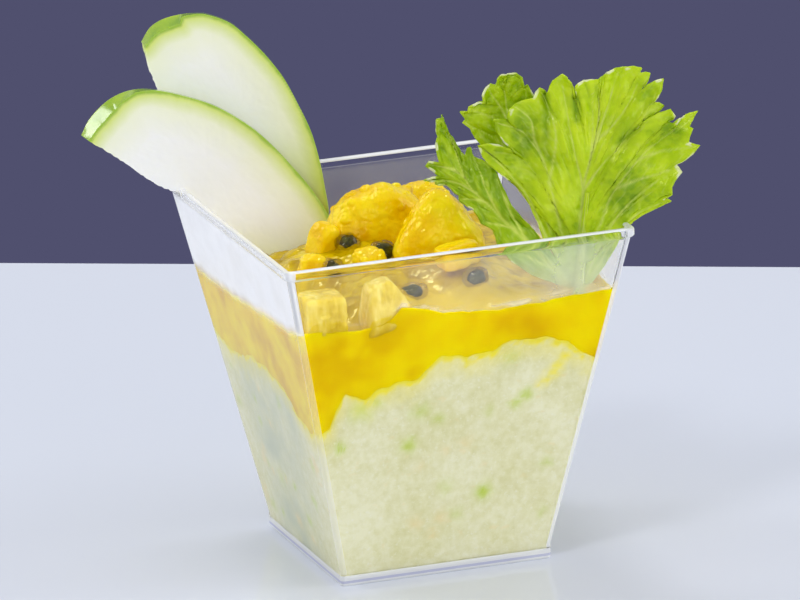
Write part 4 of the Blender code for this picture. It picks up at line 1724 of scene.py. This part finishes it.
@dataclass
class Leaflet:
    """Toothed leaflet: rays fan out from the midrib to both margins.

    A margin point is (across, up), and some also give the share of the midrib where their ray
    starts; the others share out the way between two such points. Veins and creases are lines of
    their own. A wave is a depth and a pitch, and the later pairs are for the right half and the
    left.
    """

    name: str
    midrib: Pairs
    right: Rows
    left: Rows
    veins: tuple[Pairs, ...]
    rooted: float
    forward: float
    wave: Pair
    bow: float = 0.16
    tilt: Pair = (0.0, 0.0)
    curl: Pair = (0.5, 0.5)
    # Painted shade on each half.
    shade: Pair = (0.0, 0.0)
    # Painted highlight along each half's margin.
    lit_edge: Pair = (0.8, 0.8)
    creases: tuple[Pairs, ...] = ()
    crease_spread: float = 0.8
    midrib_width: float = 0.55
    vein_width: float = 0.30
    vein_tip: float = 0.12
    pleats: float = 0.26
    steps: int = 3
    ray_rows: int = 44

    def margin(self, knots: Rows) -> Array:
        """Fill in the branches that a margin leaves out.

        Args:
            knots: the margin as it is given.

        Returns:
            Rows of (across, up, branch), where a branch is a share of the midrib.
        """
        flat = np.array([knot[:2] for knot in knots])
        known = [order for order, knot in enumerate(knots) if len(knot) == 3]
        gone = np.concatenate(([0.0], np.cumsum(np.linalg.norm(np.diff(flat, axis=0), axis=-1))))
        branch = np.interp(gone, gone[known], [knots[order][2] for order in known])
        return np.column_stack((flat, branch))

    def branches(self) -> Array:
        """Shares of the midrib for the columns.

        Returns:
            The branches of both margins' points, with each gap between them cut in steps.
        """
        both = np.concatenate((self.margin(self.right)[:, 2], self.margin(self.left)[:, 2]))
        knots = np.unique(np.round(both, 6))
        cuts = np.arange(self.steps) / self.steps
        inner = knots[:-1, None] + np.diff(knots)[:, None] * cuts
        return np.concatenate((inner.ravel(), knots[-1:]))

    def rays(self, margin: Array, share: Array) -> Array:
        """Points on the rays: a bowed curve from the midrib to the margin.

        Args:
            margin: the margin's points.
            share: shares of the way along a ray.

        Returns:
            Shares by rays of points: the quadratic curve whose middle is lifted along the
            midrib.
        """
        branch = self.branches()
        ends = np.stack([np.interp(branch, margin[:, 2], margin[:, axis]) for axis in (0, 1)], -1)
        rib = np.array(self.midrib)
        slopes = np.gradient(rib, np.linspace(0.0, 1.0, len(rib)), axis=0)
        start, way = along_line(branch, rib), along_line(branch, slopes)
        way /= np.linalg.norm(way, axis=-1, keepdims=True)
        long = np.linalg.norm(ends - start, axis=-1, keepdims=True)
        middle = start + 0.5 * (ends - start) + self.bow * long * way
        r = share[:, None, None]
        return (1 - r) ** 2 * start + 2 * r * (1 - r) * middle + r**2 * ends

    def near_veins(self, across: Array, up: Array) -> tuple[Array, Array]:
        """Veins near each place: a bell curve round each line, narrower towards its end.

        Args:
            across: places across in millimetres.
            up: places up in millimetres.

        Returns:
            How much vein each place has, and how far it lies from the nearest line.
        """
        vein, away = np.zeros(up.shape), np.full(up.shape, 9.0)
        for order, line in enumerate((self.midrib, *self.veins)):
            spots = curve_through(line, 14)
            root = self.midrib_width if order == 0 else self.vein_width
            for (x, y), width in zip(spots, np.linspace(root, self.vein_tip, len(spots))):
                gap = np.hypot(across - x, up - y)
                away = np.minimum(away, gap)
                vein = np.maximum(vein, np.exp(-((gap / width) ** 2)))
        return vein, away

    def creased(self, across: Array, up: Array) -> Array:
        """How deep in a crease each place lies: a bell curve round its line.

        Args:
            across: places across in millimetres.
            up: places up in millimetres.

        Returns:
            Numbers from 0 to 1.
        """
        fold = np.zeros(up.shape)
        for line in self.creases:
            for x, y in curve_through(line, 8):
                away = (across - x) ** 2 + (up - y) ** 2
                fold = np.maximum(fold, np.exp(-away / self.crease_spread))
        return fold

    def half(self, knots: Rows, side: int) -> tuple[Array, dict[str, Array]]:
        """One half of the blade in the sprig's plane, with its relief and colour numbers.

        Args:
            knots: the half's margin.
            side: 0 for the right half, 1 for the left.

        Returns:
            Shares by rays of points in millimetres, and their vein, shade and lit numbers.
        """
        share = np.linspace(0.0, 1.0, self.ray_rows)
        flat = self.rays(self.margin(knots), share)
        across, up = flat[..., 0], flat[..., 1]
        vein, away = self.near_veins(across, up)
        r = share[:, None]
        branch = self.branches()[None, :] + 0.0 * r
        fan = np.stack((branch * 26.0, r * 3.4 + 3.0 * branch, 0.0 * branch + 9.0 * side), -1)
        pleat = layered_noise(fan, 541, 2)
        hair = np.exp(-((lattice_noise(fan * (1.3, 2.2, 1.0), 547) / 0.07) ** 2)) * 0.30
        depth, pitch = self.wave
        ripple = np.sin(pitch * (across * 1.3 + up * 0.6)) * np.cos(pitch * (up - 0.4 * across))
        fold = self.creased(across, up)
        freed = np.clip((up - 2.0) / 9.0, 0.0, 1.0)
        spots = flat_spots(across, up)
        relief = 0.35 * (1.0 - np.exp(-((away / 0.9) ** 2))) - 0.7 * fold
        relief += 0.34 * layered_noise(spots / 3.4, 503) + 0.16 * layered_noise(spots / 1.2, 521, 2)
        opened = smooth_step(r, 0.05, 0.35)
        relief += self.pleats * pleat * opened
        edge = smooth_step(r, 0.84, 1.0) * (0.4 + 0.9 * lattice_noise(spots / 2.6, 509))
        relief += self.curl[side] * edge + self.tilt[side] * 10.0 * r * opened
        high = self.rooted + freed * (depth * ripple + self.forward + relief)
        # Painted shade: a darker half, darker pleat troughs and darker creases.
        shade = self.shade[side] + 0.28 * smooth_step(-pleat, 0.1, 0.9) * opened + 0.8 * fold
        # Patches that break up the painted highlight along the margin.
        worn = Patches(1.8, 523, 0.0, 0.5, layers=1).on(spots)
        # Painted highlight on the margin's teeth and on the pleats' ridges.
        lit = self.lit_edge[side] * smooth_step(r, 0.93, 0.985) * worn
        lit += 0.3 * smooth_step(pleat, 0.3, 1.0)
        points = np.concatenate((flat, high[..., None]), axis=-1)
        numbers = {
            "vein": np.clip(vein * 0.85 + hair * opened, 0.0, 1.0),
            "shade": np.clip(shade, 0.0, 1.0) * (1.0 - vein),
            "lit": np.clip(lit, 0.0, 1.0),
        }
        return points, numbers

    def surface(self, placing: Placing) -> Surface:
        """Open blade: the left half's rows reversed, then the right half's after the midrib.

        Args:
            placing: the sprig's plane.

        Returns:
            The blade, with numbers for its colours.
        """
        right, right_numbers = self.half(self.right, 0)
        left, left_numbers = self.half(self.left, 1)
        middle = 0.5 * (right[:1] + left[:1])
        plane = np.concatenate((left[:0:-1], middle, right[1:]))
        numbers = {
            name: np.concatenate((left_numbers[name][:0:-1], right_numbers[name]))
            for name in right_numbers
        }
        numbers["stalk"] = smooth_step(11.0 - plane[..., 1], 0.0, 9.0) * 0.75
        return open_sheet(placing.to_world(plane), numbers)


@dataclass
class Sprig:
    """Leafy sprig: a ribbed stem and three leaflets in one upright plane."""

    placing: Placing = Placing((25.3, -28.2, 53.6), 3.0)
    blade: float = 0.42
    stem_points: Pairs = ((0.4, -4.4), (0.0, 0.0), (0.8, 7.0), (1.6, 14.0), (2.4, 20.0))
    stem_radii: tuple[float, ...] = (1.25, 1.2, 0.95, 0.7, 0.45)
    stem_ribs: int = 7
    stem_rows: int = 48
    stem_columns: int = 56

    def stem(self) -> Surface:
        """Stem: a ribbed circle carried up the stem's line, its radius shrinking.

        Returns:
            The stem, with the same numbers as the blades have.
        """
        share = np.linspace(0.0, 1.0, self.stem_rows)
        centre = along_line(share, np.array(self.stem_points))
        radius = along_line(share, np.array(self.stem_radii)[:, None])[:, 0]
        around = 2.0 * np.pi * np.arange(self.stem_columns) / self.stem_columns
        wide = radius[:, None] * (1.0 + 0.07 * np.cos(self.stem_ribs * around))
        across, tall = centre[:, :1] + wide * np.cos(around), centre[:, 1:] + 0.0 * wide
        plane = np.stack((across, tall, wide * np.sin(around)), axis=-1)
        ends = self.placing.to_world(np.array([(*centre[0], 0.0), (*centre[-1], 0.0)]))
        numbers = {
            "vein": 0.6 * smooth_step(np.cos(self.stem_ribs * around) + 0.0 * tall, 0.2, 1.0),
            "shade": np.zeros_like(tall),
            "lit": np.zeros_like(tall),
            "stalk": smooth_step(16.0 - tall, 0.0, 14.0) * 0.9,
        }
        return closed_surface(self.placing.to_world(plane), ends[0], ends[1], numbers)

    def build(self, leaflets: tuple[Leaflet, ...], finish: Material) -> None:
        """Stem and leaflets, as pieces that together stand for the sprig's node.

        Args:
            leaflets: the leaflets.
            finish: the leaf's material.
        """
        stem = self.stem().to_object("sprig_stem", finish)
        finish_piece(stem, Slot.LEAF, "celery_sprig")
        for leaflet in leaflets:
            made = leaflet.surface(self.placing).to_object(leaflet.name, finish)
            weld(made)
            solid = made.modifiers.new("blade", "SOLIDIFY")
            solid.thickness = self.blade * MM
            solid.offset = 0.0
            finish_piece(made, Slot.LEAF, "celery_sprig")


def weld(made: Object) -> None:
    """Merge a mesh's doubled points, which closes its tips.

    Args:
        made: the object whose mesh is changed.
    """
    bm = bmesh.new()
    bm.from_mesh(made.data)
    bmesh.ops.remove_doubles(bm, verts=bm.verts, dist=1e-6)
    bm.to_mesh(made.data)
    bm.free()


# The broad leaflet, the narrow left one and the one behind, in millimetres.
LEAFLET_MAIN = Leaflet(
    "leaflet_main",
    midrib=(
        (0.0, 1.4), (0.4, 5.6), (0.7, 9.8), (1.0, 14.0), (1.4, 18.1), (2.0, 22.2),
        (3.1, 26.3), (4.2, 30.4), (4.9, 34.4), (5.1, 38.4),
    ),
    right=(
        (0.6, 1.4, 0.0), (2.5, 2.4, 0.01), (5.2, 5.8, 0.03), (7.4, 9.6, 0.05),
        (8.4, 12.0), (10.4, 13.7, 0.07), (12.7, 15.2), (15.6, 16.6), (18.1, 18.0, 0.10),
        (17.2, 18.6), (18.3, 19.4, 0.115), (18.3, 20.8), (19.0, 22.0),
        (20.3, 23.5, 0.14), (19.4, 24.8, 0.15), (21.1, 25.8), (22.4, 27.0),
        (23.8, 28.7, 0.18), (22.7, 29.0), (21.7, 29.4, 0.195), (22.0, 30.7),
        (22.6, 32.0, 0.21), (21.9, 32.4), (22.6, 33.6), (23.6, 35.2, 0.235),
        (21.9, 34.7), (20.6, 34.1), (19.8, 32.9, 0.26), (18.6, 33.1), (17.9, 33.4),
        (19.4, 34.3, 0.28), (18.4, 35.6, 0.29), (16.3, 35.2), (14.5, 34.5),
        (13.2, 33.7), (12.0, 32.1, 0.33), (13.4, 34.3), (15.0, 35.6),
        (17.3, 36.4, 0.38), (16.4, 37.0), (15.3, 37.2, 0.395), (16.2, 38.2),
        (16.9, 39.5), (17.3, 41.5, 0.42), (15.8, 41.3), (14.3, 40.7),
        (13.1, 39.5, 0.45), (13.5, 40.7), (14.4, 41.4), (14.8, 42.8, 0.48),
        (13.9, 43.1), (13.1, 42.9), (12.7, 43.4, 0.50), (13.2, 43.9, 0.52),
        (11.7, 44.2), (10.0, 44.1, 0.60), (8.5, 43.8), (6.7, 43.1, 0.72),
        (5.1, 41.8, 1.0),
    ),
    left=(
        (-0.6, 1.4, 0.0), (-3.0, 5.0), (-4.6, 8.6, 0.03), (-6.3, 11.7), (-7.6, 15.4),
        (-8.7, 18.1, 0.06), (-9.7, 20.2), (-11.1, 21.9), (-13.0, 23.6), (-14.5, 25.0),
        (-15.9, 26.2, 0.10), (-17.2, 27.6), (-18.0, 29.8, 0.13), (-16.2, 30.2),
        (-14.2, 30.0), (-12.0, 29.1), (-10.3, 28.0, 0.17), (-12.0, 29.5),
        (-13.4, 30.8), (-14.5, 32.4), (-15.0, 34.8, 0.22), (-13.6, 34.9),
        (-12.4, 34.7), (-11.8, 34.0, 0.25), (-12.4, 35.2), (-11.8, 36.9, 0.28),
        (-10.6, 37.7), (-9.3, 38.2, 0.33), (-7.3, 38.6, 0.38), (-6.8, 39.7),
        (-6.0, 40.4, 0.42), (-5.2, 39.8), (-4.9, 38.9, 0.45), (-4.5, 39.8),
        (-4.2, 40.8), (-3.7, 41.8), (-2.8, 42.6), (-1.8, 43.3, 0.55), (-1.0, 42.9),
        (-0.4, 42.0), (0.0, 41.1, 0.64), (0.3, 38.3, 0.67), (0.9, 38.3, 0.69),
        (0.5, 40.8, 0.72), (1.2, 41.4), (2.2, 41.9, 0.80), (3.6, 42.0, 0.90),
        (5.1, 41.8, 1.0),
    ),
    veins=(
        ((4.0, 29.5), (6.0, 31.2), (7.8, 33.0), (10.2, 36.4), (12.4, 40.6)),
        ((3.9, 29.0), (5.2, 32.4), (7.0, 37.6), (8.6, 42.6)),
        ((1.6, 20.6), (1.0, 24.0), (0.0, 29.2), (-1.0, 35.2), (-1.8, 41.6)),
        ((1.8, 20.4), (3.4, 22.6), (5.6, 25.6), (9.6, 29.4)),
        ((1.2, 5.0), (4.4, 13.4), (7.6, 20.4), (11.2, 25.1), (16.0, 29.4), (22.6, 34.4)),
        ((7.9, 20.8), (12.0, 22.3), (16.0, 23.2), (19.6, 24.2)),
        ((12.6, 26.2), (17.0, 27.4), (22.8, 28.7)),
        ((1.6, 3.8), (5.4, 11.6), (9.4, 16.7), (13.4, 20.4), (17.4, 22.6)),
        ((2.6, 4.0), (7.6, 11.4), (12.4, 15.8), (17.2, 17.8)),
        ((-0.4, 3.8), (-2.7, 12.4), (-4.0, 19.0), (-5.7, 26.1), (-9.5, 32.0), (-14.2, 34.2)),
        ((-5.7, 26.1), (-7.2, 30.6), (-8.0, 34.4), (-10.8, 37.0)),
        ((-1.2, 3.6), (-5.4, 11.0), (-8.0, 18.0), (-11.6, 23.4), (-17.0, 29.2)),
        ((3.2, 26.9), (3.7, 31.6), (3.9, 39.9)),
        ((-4.8, 22.0), (-3.4, 28.6), (-3.6, 34.0), (-5.8, 39.4)),
    ),
    rooted=0.0,
    forward=0.0,
    wave=(0.9, 0.30),
    creases=(
        ((-4.2, 26.0), (-5.2, 29.4), (-5.0, 33.6), (-5.0, 38.9)),
        ((9.0, 29.6), (12.0, 32.1)),
        ((0.6, 34.0), (0.7, 38.4)),
    ),
)
LEAFLET_LEFT = Leaflet(
    "leaflet_left",
    midrib=((-1.0, 2.0), (-9.6, 11.4), (-15.4, 17.6), (-20.4, 23.6), (-23.4, 32.5)),
    right=(
        (-0.6, 2.2, 0.0), (-5.2, 9.4, 0.12), (-9.2, 14.8, 0.30), (-12.0, 18.4),
        (-13.6, 21.8, 0.42), (-14.6, 24.4), (-16.2, 26.6, 0.54), (-17.6, 27.3),
        (-18.9, 27.8, 0.62), (-19.4, 29.7, 0.66), (-20.0, 29.4), (-20.4, 27.9, 0.71),
        (-21.2, 28.6), (-22.2, 30.4, 0.80), (-22.9, 31.8), (-23.8, 33.0, 0.90),
        (-24.6, 34.6), (-24.6, 36.2, 1.0),
    ),
    left=(
        (-1.4, 1.8, 0.0), (-8.6, 4.6, 0.16), (-12.4, 7.6), (-15.0, 11.6, 0.34),
        (-15.6, 13.8), (-17.8, 15.2, 0.42), (-18.4, 16.6), (-19.4, 18.2),
        (-21.8, 19.6, 0.50), (-21.8, 20.6), (-23.0, 21.8), (-24.2, 22.9),
        (-26.2, 23.6, 0.58), (-26.0, 24.2), (-28.4, 24.0, 0.62), (-26.8, 24.9),
        (-25.4, 25.0, 0.66), (-26.4, 26.0), (-28.0, 27.0, 0.70), (-27.4, 27.8),
        (-25.2, 27.6, 0.74), (-25.7, 29.6), (-25.9, 31.2, 0.82), (-25.6, 32.4),
        (-25.8, 34.2, 0.92), (-25.6, 35.8), (-24.6, 36.2, 1.0),
    ),
    veins=(
        ((-9.6, 11.4), (-12.2, 17.0), (-14.6, 23.0)),
        ((-13.6, 15.6), (-16.4, 20.8), (-18.8, 27.8)),
        ((-12.0, 14.0), (-14.4, 14.6), (-17.0, 15.2)),
        ((-16.6, 19.0), (-19.0, 20.0), (-21.4, 20.0)),
        ((-18.6, 21.2), (-22.0, 23.2), (-26.2, 24.0)),
        ((-20.6, 24.0), (-23.4, 26.0), (-27.0, 27.2)),
        ((-4.6, 6.0), (-9.0, 8.0), (-13.4, 11.2)),
    ),
    rooted=0.5,
    forward=1.2,
    wave=(0.9, 0.42),
    tilt=(-0.12, 0.10),
    curl=(0.3, 1.3),
    shade=(0.85, 0.6),
    lit_edge=(0.3, 1.0),
)
LEAFLET_REAR = Leaflet(
    "leaflet_rear",
    midrib=((-0.5, 2.4), (-5.4, 15.6), (-9.6, 26.2), (-12.0, 34.2), (-12.6, 39.2)),
    right=(
        (0.0, 2.6, 0.0), (-2.0, 15.6, 0.30), (-4.4, 28.2, 0.62), (-6.2, 35.8, 0.78),
        (-7.0, 38.4), (-8.2, 40.6, 0.86), (-8.8, 40.2), (-9.2, 42.1, 0.93),
        (-10.4, 42.9), (-12.1, 42.8, 1.0),
    ),
    left=(
        (-1.0, 2.6, 0.0), (-8.4, 17.3, 0.30), (-14.0, 25.7, 0.50), (-16.6, 28.0),
        (-18.6, 30.6, 0.60), (-19.4, 32.4), (-20.8, 33.6, 0.67), (-20.2, 34.2),
        (-21.2, 35.8, 0.71), (-19.8, 35.8), (-19.6, 36.8, 0.75), (-17.8, 37.6),
        (-16.6, 37.2, 0.79), (-16.8, 38.8), (-16.2, 40.0, 0.84), (-15.2, 40.8),
        (-14.2, 40.6, 0.89), (-14.0, 41.8), (-13.2, 42.8, 0.95), (-12.1, 42.8, 1.0),
    ),
    veins=(
        ((-9.0, 24.8), (-13.6, 29.4), (-20.2, 33.6)),
        ((-10.4, 28.8), (-14.6, 33.8), (-19.4, 36.4)),
        ((-11.6, 32.6), (-14.0, 36.8), (-15.8, 40.0)),
        ((-10.2, 28.2), (-9.2, 34.2), (-8.4, 40.2)),
    ),
    rooted=-0.5,
    forward=-3.0,
    wave=(0.9, 0.36),
    tilt=(0.0, 0.05),
    shade=(0.45, 0.30),
    curl=(0.6, 0.9),
)


# Studio.


LAMP_AIM: Triple = (0.0, 0.0, 0.05)


@dataclass(frozen=True)
class Lamp:
    """Soft square lamp that looks at the food."""

    name: str
    place: Triple
    size: Pair
    power: float

    def build(self) -> None:
        """Area lamp that no camera sees, with its place and size in metres."""
        data = bpy.data.lights.new(self.name, "AREA")
        data.shape = "RECTANGLE"
        data.size, data.size_y = self.size
        data.energy = self.power
        made = bpy.data.objects.new(self.name, data)
        aim = Vector(LAMP_AIM) - Vector(self.place)
        made.location = self.place
        made.rotation_euler = aim.to_track_quat("-Z", "Y").to_euler()
        made.visible_camera = False
        bpy.context.scene.collection.objects.link(made)


@dataclass(frozen=True)
class Studio:
    """Pale table, slate surroundings, soft lamps and the photograph's long camera.

    Angles are in degrees. The camera's distance, its slide across the picture and the height
    that it aims at are in millimetres, and the table's measures are in metres.
    """

    yaw: float = -19.283
    pitch: float = 16.790
    roll: float = -1.775
    lens: float = 540.0
    distance: float = 2289.7
    slide: Pair = (-0.79, 14.18)
    aim_height: float = 33.5
    table_edge: Pair = (0.061, 0.1748)
    table_turn: float = -26.5
    table_drop: float = 2e-5
    sensor: float = 36.0
    table_size: Pair = (3.0, 1.8)
    backdrop: Colour = linear(80, 80, 110)
    room: Colour = (0.575, 0.585, 0.61)
    backdrop_reach: Pair = (0.80, 0.93)
    lamps: tuple[Lamp, ...] = (
        Lamp("key_lamp", (-0.75, -0.55, 0.95), (0.3, 0.3), 3.6),
        Lamp("front_lamp", (0.45, -1.15, 0.16), (1.2, 0.5), 3.9),
        Lamp("top_lamp", (-0.02, 0.38, 1.08), (0.28, 0.28), 2.4),
        Lamp("edge_lamp", (-0.80, 0.75, 0.58), (0.44, 0.44), 3.3),
        Lamp("right_lamp", (0.95, -0.35, 0.60), (0.6, 0.6), 3.1),
    )

    def build_camera(self) -> None:
        """Camera turned by its yaw, pitch and roll, at its distance from the aim."""
        yaw, pitch, roll = np.radians([self.yaw, self.pitch, self.roll])
        back = np.array(
            [np.sin(yaw) * np.cos(pitch), -np.cos(yaw) * np.cos(pitch), np.sin(pitch)]
        )
        level = np.array([np.cos(yaw), np.sin(yaw), 0.0])
        rise = np.cross(back, level)
        right = level * np.cos(roll) + rise * np.sin(roll)
        up = rise * np.cos(roll) - level * np.sin(roll)
        aim = np.array([0.0, 0.0, self.aim_height]) + right * self.slide[0] + up * self.slide[1]
        spot = (aim + back * self.distance) * MM
        data = bpy.data.cameras.new("photo_camera")
        data.lens = self.lens
        data.sensor_width = self.sensor
        data.clip_start, data.clip_end = 0.1, 20.0
        made = bpy.data.objects.new("photo_camera", data)
        turned = Matrix(np.stack((right, up, back), axis=-1).tolist()).to_4x4()
        made.matrix_world = Matrix.Translation(Vector(spot)) @ turned
        bpy.context.scene.collection.objects.link(made)
        bpy.context.scene.camera = made

    def build(self) -> None:
        """Table, surroundings, lamps and camera."""
        self.build_camera()
        for lamp in self.lamps:
            lamp.build()
        self.build_surroundings()
        self.build_table()
        bpy.context.scene.view_settings.view_transform = "Standard"

    def build_surroundings(self) -> None:
        """Pale room all round, with a slate backdrop in the directions behind the food."""
        world = bpy.data.worlds.new("surroundings")
        world.use_nodes = True
        tree = world.node_tree
        way = tree.nodes.new("ShaderNodeTexCoord")
        behind = tree.nodes.new("ShaderNodeVectorMath")
        behind.operation = "DOT_PRODUCT"
        yaw, pitch = np.radians([self.yaw, self.pitch])
        towards = (-np.sin(yaw) * np.cos(pitch), np.cos(yaw) * np.cos(pitch), -np.sin(pitch))
        behind.inputs[1].default_value = towards
        share = tree.nodes.new("ShaderNodeMapRange")
        share.interpolation_type = "SMOOTHSTEP"
        share.inputs["From Min"].default_value = self.backdrop_reach[0]
        share.inputs["From Max"].default_value = self.backdrop_reach[1]
        mix = tree.nodes.new("ShaderNodeMix")
        mix.data_type = "RGBA"
        mix.inputs["A"].default_value = (*self.room, 1.0)
        mix.inputs["B"].default_value = (*self.backdrop, 1.0)
        tree.links.new(way.outputs["Generated"], behind.inputs[0])
        tree.links.new(behind.outputs["Value"], share.inputs["Value"])
        tree.links.new(share.outputs["Result"], mix.inputs["Factor"])
        tree.links.new(mix.outputs["Result"], tree.nodes["Background"].inputs["Color"])
        bpy.context.scene.world = world

    def build_table(self) -> None:
        """Table: a flat grid whose far edge lies across the picture."""
        turn = np.radians(self.table_turn)
        along = np.array([np.cos(turn), np.sin(turn), 0.0])
        nearer = np.array([np.sin(turn), -np.cos(turn), 0.0])
        edge = np.array([*self.table_edge, -self.table_drop])
        wide, deep = self.table_size
        across, near = np.meshgrid(np.linspace(-wide / 2, wide / 2, 9), np.linspace(0, deep, 9))
        top = open_sheet(edge + across[..., None] * along + near[..., None] * nearer)
        top.to_object("table", TableFinish().build())


CLEAR_PLASTIC = ClearFinish(
    "clear_plastic", tint=UNTINTED, bending=1.53, roughness=0.012, clearness=1.0,
    shade=(0.97, 0.975, 0.98), sheen=0.08,
)
# Painted highlight: whiter, less clear plastic for the edges, fainter on the near corner over the food.
PLASTIC_EDGE_HIGHLIGHT = ClearFinish(
    "plastic_edge_highlight", tint=(0.97, 0.98, 1.0), bending=1.5, roughness=0.22, clearness=0.30,
    shade=(0.95, 0.96, 0.97),
)
SOFT_EDGE_HIGHLIGHT = ClearFinish(
    "soft_edge_highlight", tint=(0.98, 0.98, 0.98), bending=1.5, roughness=0.30, clearness=0.80,
    shade=(0.96, 0.97, 0.97),
)
# Painted reflection: a lavender, less clear line above the foot's lower edge.
FOOT_REFLECTION_LINE = ClearFinish(
    "foot_reflection_line", tint=(0.60, 0.62, 0.82), bending=1.5, roughness=0.22, clearness=0.25,
    shade=(0.95, 0.96, 0.97),
)
JELLY = ClearFinish(
    "jelly", tint=linear(206, 196, 70), bending=1.36, roughness=0.03, clearness=1.0,
    shade=(0.86, 0.82, 0.30),
)
COULIS_PRESSED = FruitFinish(
    "coulis_pressed", deep=(0.80, 0.54, 0.0), middle=(0.90, 0.68, 0.0), bright=(0.97, 0.80, 0.0),
    patches=90.0, pulp=700.0, pulp_depth=0.05, roughness=0.6, gloss=0.0,
)
COULIS_WET = FruitFinish(
    "coulis_wet", deep=(0.40, 0.25, 0.0), middle=(0.58, 0.40, 0.0), bright=(0.74, 0.54, 0.0),
    patches=150.0, pulp=500.0, pulp_depth=0.22, roughness=0.14,
)
MANGO_FLESH = FruitFinish(
    "mango_flesh", deep=(0.80, 0.46, 0.0), middle=(0.92, 0.62, 0.0), bright=(0.97, 0.75, 0.01),
    patches=110.0, pulp=560.0, pulp_depth=0.34, roughness=0.13,
)
PINEAPPLE_FLESH = FruitFinish(
    "pineapple_flesh", deep=linear(210, 176, 20), middle=linear(226, 198, 50),
    bright=linear(240, 220, 112), patches=260.0, pulp=900.0, pulp_depth=0.12, roughness=0.20,
    stretch=(1.6, 1.0, 0.45),
)


def main() -> None:
    """Build the studio, the tumbler, its fillings, the fruit and the garnishes, in order."""
    logging.basicConfig(level=logging.INFO, format="%(name)s: %(message)s")
    Studio().build()
    tumbler = Tumbler()
    plastics = (CLEAR_PLASTIC, PLASTIC_EDGE_HIGHLIGHT, SOFT_EDGE_HIGHLIGHT, FOOT_REFLECTION_LINE)
    tumbler.build(*[finish.build() for finish in plastics])
    filling = Filling(tumbler)
    # The smooth film on the left wall is partly mist and partly a painted reflection.
    mists = (MistFinish("cold_mist", grain=0.2), MistFinish("smooth_mist_and_reflection", grain=0.04))
    for film, mist in zip(mist_films(filling), mists):
        film.build(mist.build())
    filling.build_granita(GranitaFinish().build())
    filling.build_coulis(COULIS_PRESSED.build(), COULIS_WET.build())
    mango = MANGO_FLESH.build()
    for lump in MANGO_PIECES:
        lump.build(mango, Slot.MANGO)
    pineapple = PINEAPPLE_FLESH.build()
    for lump in PINEAPPLE_PIECES:
        lump.build(pineapple, Slot.PINEAPPLE)
    SeedScatter(filling).build(SeedFinish().build(), JELLY.build())
    crisp = SliceFinish().build()
    for piece in CRISP_SLICES:
        piece.build(crisp)
    Sprig().build((LEAFLET_MAIN, LEAFLET_LEFT, LEAFLET_REAR), LeafFinish().build())


if __name__ == "__main__":
    main()
